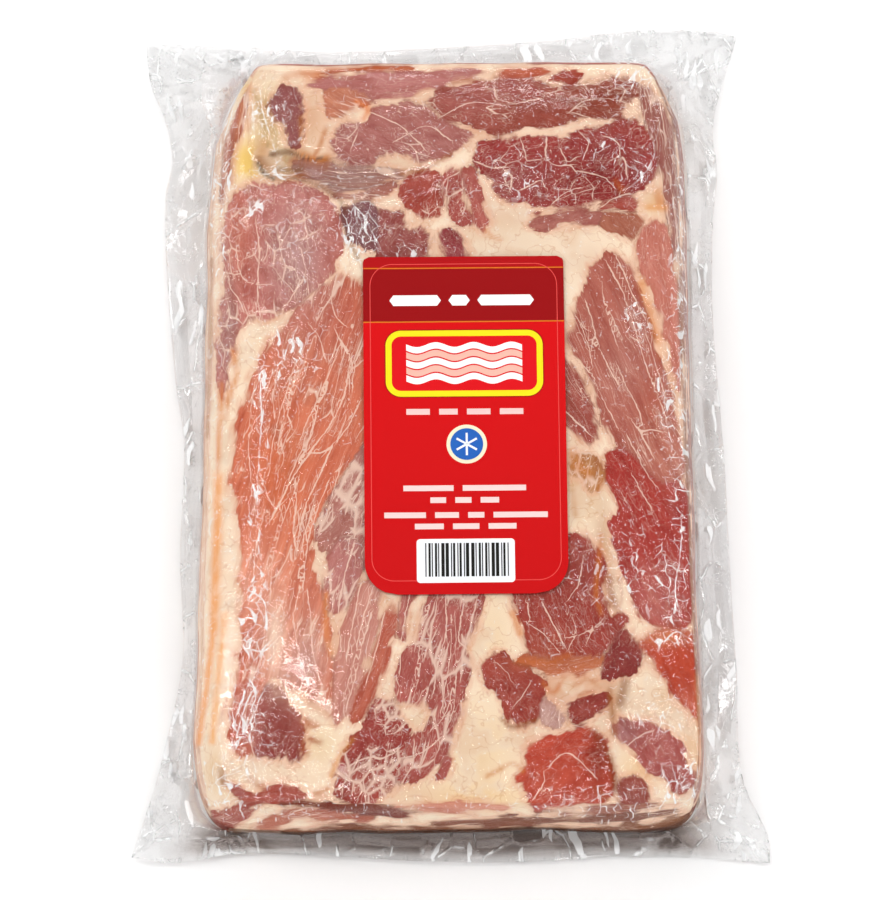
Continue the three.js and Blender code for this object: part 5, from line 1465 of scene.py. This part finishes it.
def buildPrint():
    marks = []
    for middle, tall, tone, bars in prints["rows"]:
        for left, right in bars:
            marks.append(barMark(left, right, middle - tall / 2, middle + tall / 2, tone, 0.35 * tall))
    for middle, tone in prints["rashers"]:
        rasher = flatBlank(60, 1)
        p = readPoints(rasher)
        out = p[:, 0] * prints["rasherHalf"]
        swing = prints["rasherSwing"] * np.sin(out * 2 * math.pi / prints["rasherPitch"])
        up = middle + p[:, 1] * prints["rasherHeight"] / 2 + swing
        setPoints(rasher, out, up, np.zeros(len(out)))
        marks.append(layMark(rasher, tone))
    # the roundel: a pale ring round a blue field with a plain six-armed frost star, the sign for keep cold
    cx, cy = prints["roundel"]
    only(None)
    for radius, tone, lift in ((prints["roundelRadius"], "F4E9C8", 0.0),
                               (prints["roundelRadius"] - prints["roundelRing"], "1B5FB8", 0.06)):
        bpy.ops.mesh.primitive_circle_add(vertices=64, radius=radius * mm, fill_type="TRIFAN",
                location=(cx * mm, cy * mm, 0))
        disc = bpy.context.object
        bpy.ops.object.transform_apply(location=True)
        p = readPoints(disc) / mm
        setPoints(disc, p[:, 0], p[:, 1], np.full(len(p), lift))
        marks.append(layMark(disc, tone))
    for arm in range(3):
        turn = math.radians(30 + 60 * arm)
        ray = flatBlank(4, 1)
        p = readPoints(ray)
        out, side = p[:, 0] * prints["starReach"], p[:, 1] * prints["starHalf"]
        setPoints(ray, cx + out * math.cos(turn) - side * math.sin(turn),
                  cy + out * math.sin(turn) + side * math.cos(turn), np.full(len(p), 0.12))
        marks.append(layMark(ray, "F4F6FA"))
    # the bars: widths of one to three modules with gaps of one to two, by a fixed rule
    at, step = prints["codeFrom"], 0
    while at < prints["codeTo"]:
        wide = prints["codeModule"] * (1 + (step * step + 3 * step) % 7 % 3)
        marks.append(barMark(at, at + wide, prints["codeMiddle"] - prints["codeHeight"] / 2,
                             prints["codeMiddle"] + prints["codeHeight"] / 2, "17130F"))
        at += wide + prints["codeModule"] * (1 + (step * 5 + 1) % 4 % 2)
        step += 1
    only(marks[0])
    for mark in marks:
        mark.select_set(True)
    bpy.ops.object.join()
    whole = bpy.context.object
    whole.name = whole.data.name = "labelPrint"
    return whole


def setFinish(piece, material, node):
    piece.data.materials.clear()
    piece.data.materials.append(material)
    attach(piece, "root")
    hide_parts(node)


bacon = buildBlock(block)
print("bacon block:", len(bacon.data.polygons), "faces")
film = buildPouch(pouch)
print("film pouch:", len(film.data.polygons), "faces")
sheet = buildLabel()
inks = buildPrint()
print("label:", len(sheet.data.polygons) + len(inks.data.polygons), "faces")
setFinish(bacon, curedPorkMaterial(), "pouch")
setFinish(film, clearFilmMaterial(), "pouch")
setFinish(sheet, printedPaperMaterial(), "label")
setFinish(inks, screenInkMaterial(), "label")

# Plain pale floor and soft studio light: two long soft boxes beside the pack and broad ones at its head and
# foot
studio = {
    "floor": 6.0, "floorTone": "FDFDFD", "skyLow": 0.75, "skyHigh": 0.26,
    # soft boxes: place in metres, size, watts
    "lamps": [((-0.8, 0.25, 1.5), (0.5, 1.4), 11), ((0.85, 0.15, 1.4), (0.5, 1.4), 8.4),
              ((0.1, 1.6, 1.3), (1.6, 0.5), 10.4), ((0.0, -1.8, 1.2), (2.0, 0.8), 13)],
    # narrower boxes that only the shine shows
    "shine": [((-0.8, 0.1, 1.5), (0.12, 1.3), 7), ((0.85, 0.0, 1.4), (0.1, 1.2), 5),
              ((0.1, 1.1, 1.5), (1.4, 0.05), 2.5)],
}


def buildStudio(s):
    only(None)
    bpy.ops.mesh.primitive_plane_add(size=s["floor"], location=(0, 0, 0))
    floor = bpy.context.object
    floor.name = floor.data.name = "paleFloor"
    material, add = newMaterial("palePaperSweep")
    place = add("TexCoord").outputs["Object"]
    tooth = add("TexNoise", {"Vector": place, "Scale": perMm / 2})
    bump = add("Bump", {"Height": tooth.outputs["Fac"], "Strength": 0.05, "Distance": 0.1 * mm})
    paper = add("BsdfPrincipled", {"Base Color": colour(s["floorTone"]), "Roughness": 0.8,
            "Specular IOR Level": 0.2, "Normal": bump})
    add("OutputMaterial", {"Surface": paper})
    floor.data.materials.append(material)
    for number, (place, size, watts) in enumerate(s["lamps"] + s["shine"]):
        data = bpy.data.lights.new(f"softBox{number + 1}", "AREA")
        data.shape = "RECTANGLE"
        data.size, data.size_y = size
        data.energy = watts
        lamp = bpy.data.objects.new(data.name, data)
        bpy.context.collection.objects.link(lamp)
        lamp.location = place
        lamp.rotation_euler = (-Vector(place)).to_track_quat("-Z", "Y").to_euler()
        lamp.visible_diffuse = number < len(s["lamps"])
        lamp.visible_glossy = not lamp.visible_diffuse
    world = bpy.data.worlds.new("studioSky")
    world.use_nodes = True
    sky = world.node_tree
    heading = addNode(sky, "TexCoord").outputs["Generated"]
    rise = addNode(sky, "SeparateXYZ", {0: heading}).outputs[2]
    level = addNode(sky, "MapRange", {"Value": rise, "From Max": 0.9, "To Min": s["skyLow"],
            "To Max": s["skyHigh"]})
    background = sky.nodes["Background"]
    background.inputs["Color"].default_value = (1, 1, 1, 1)
    sky.links.new(level.outputs[0], background.inputs["Strength"])
    bpy.context.scene.world = world
    bpy.context.scene.view_settings.view_transform = "Standard"


buildStudio(studio)
print("studio lit")
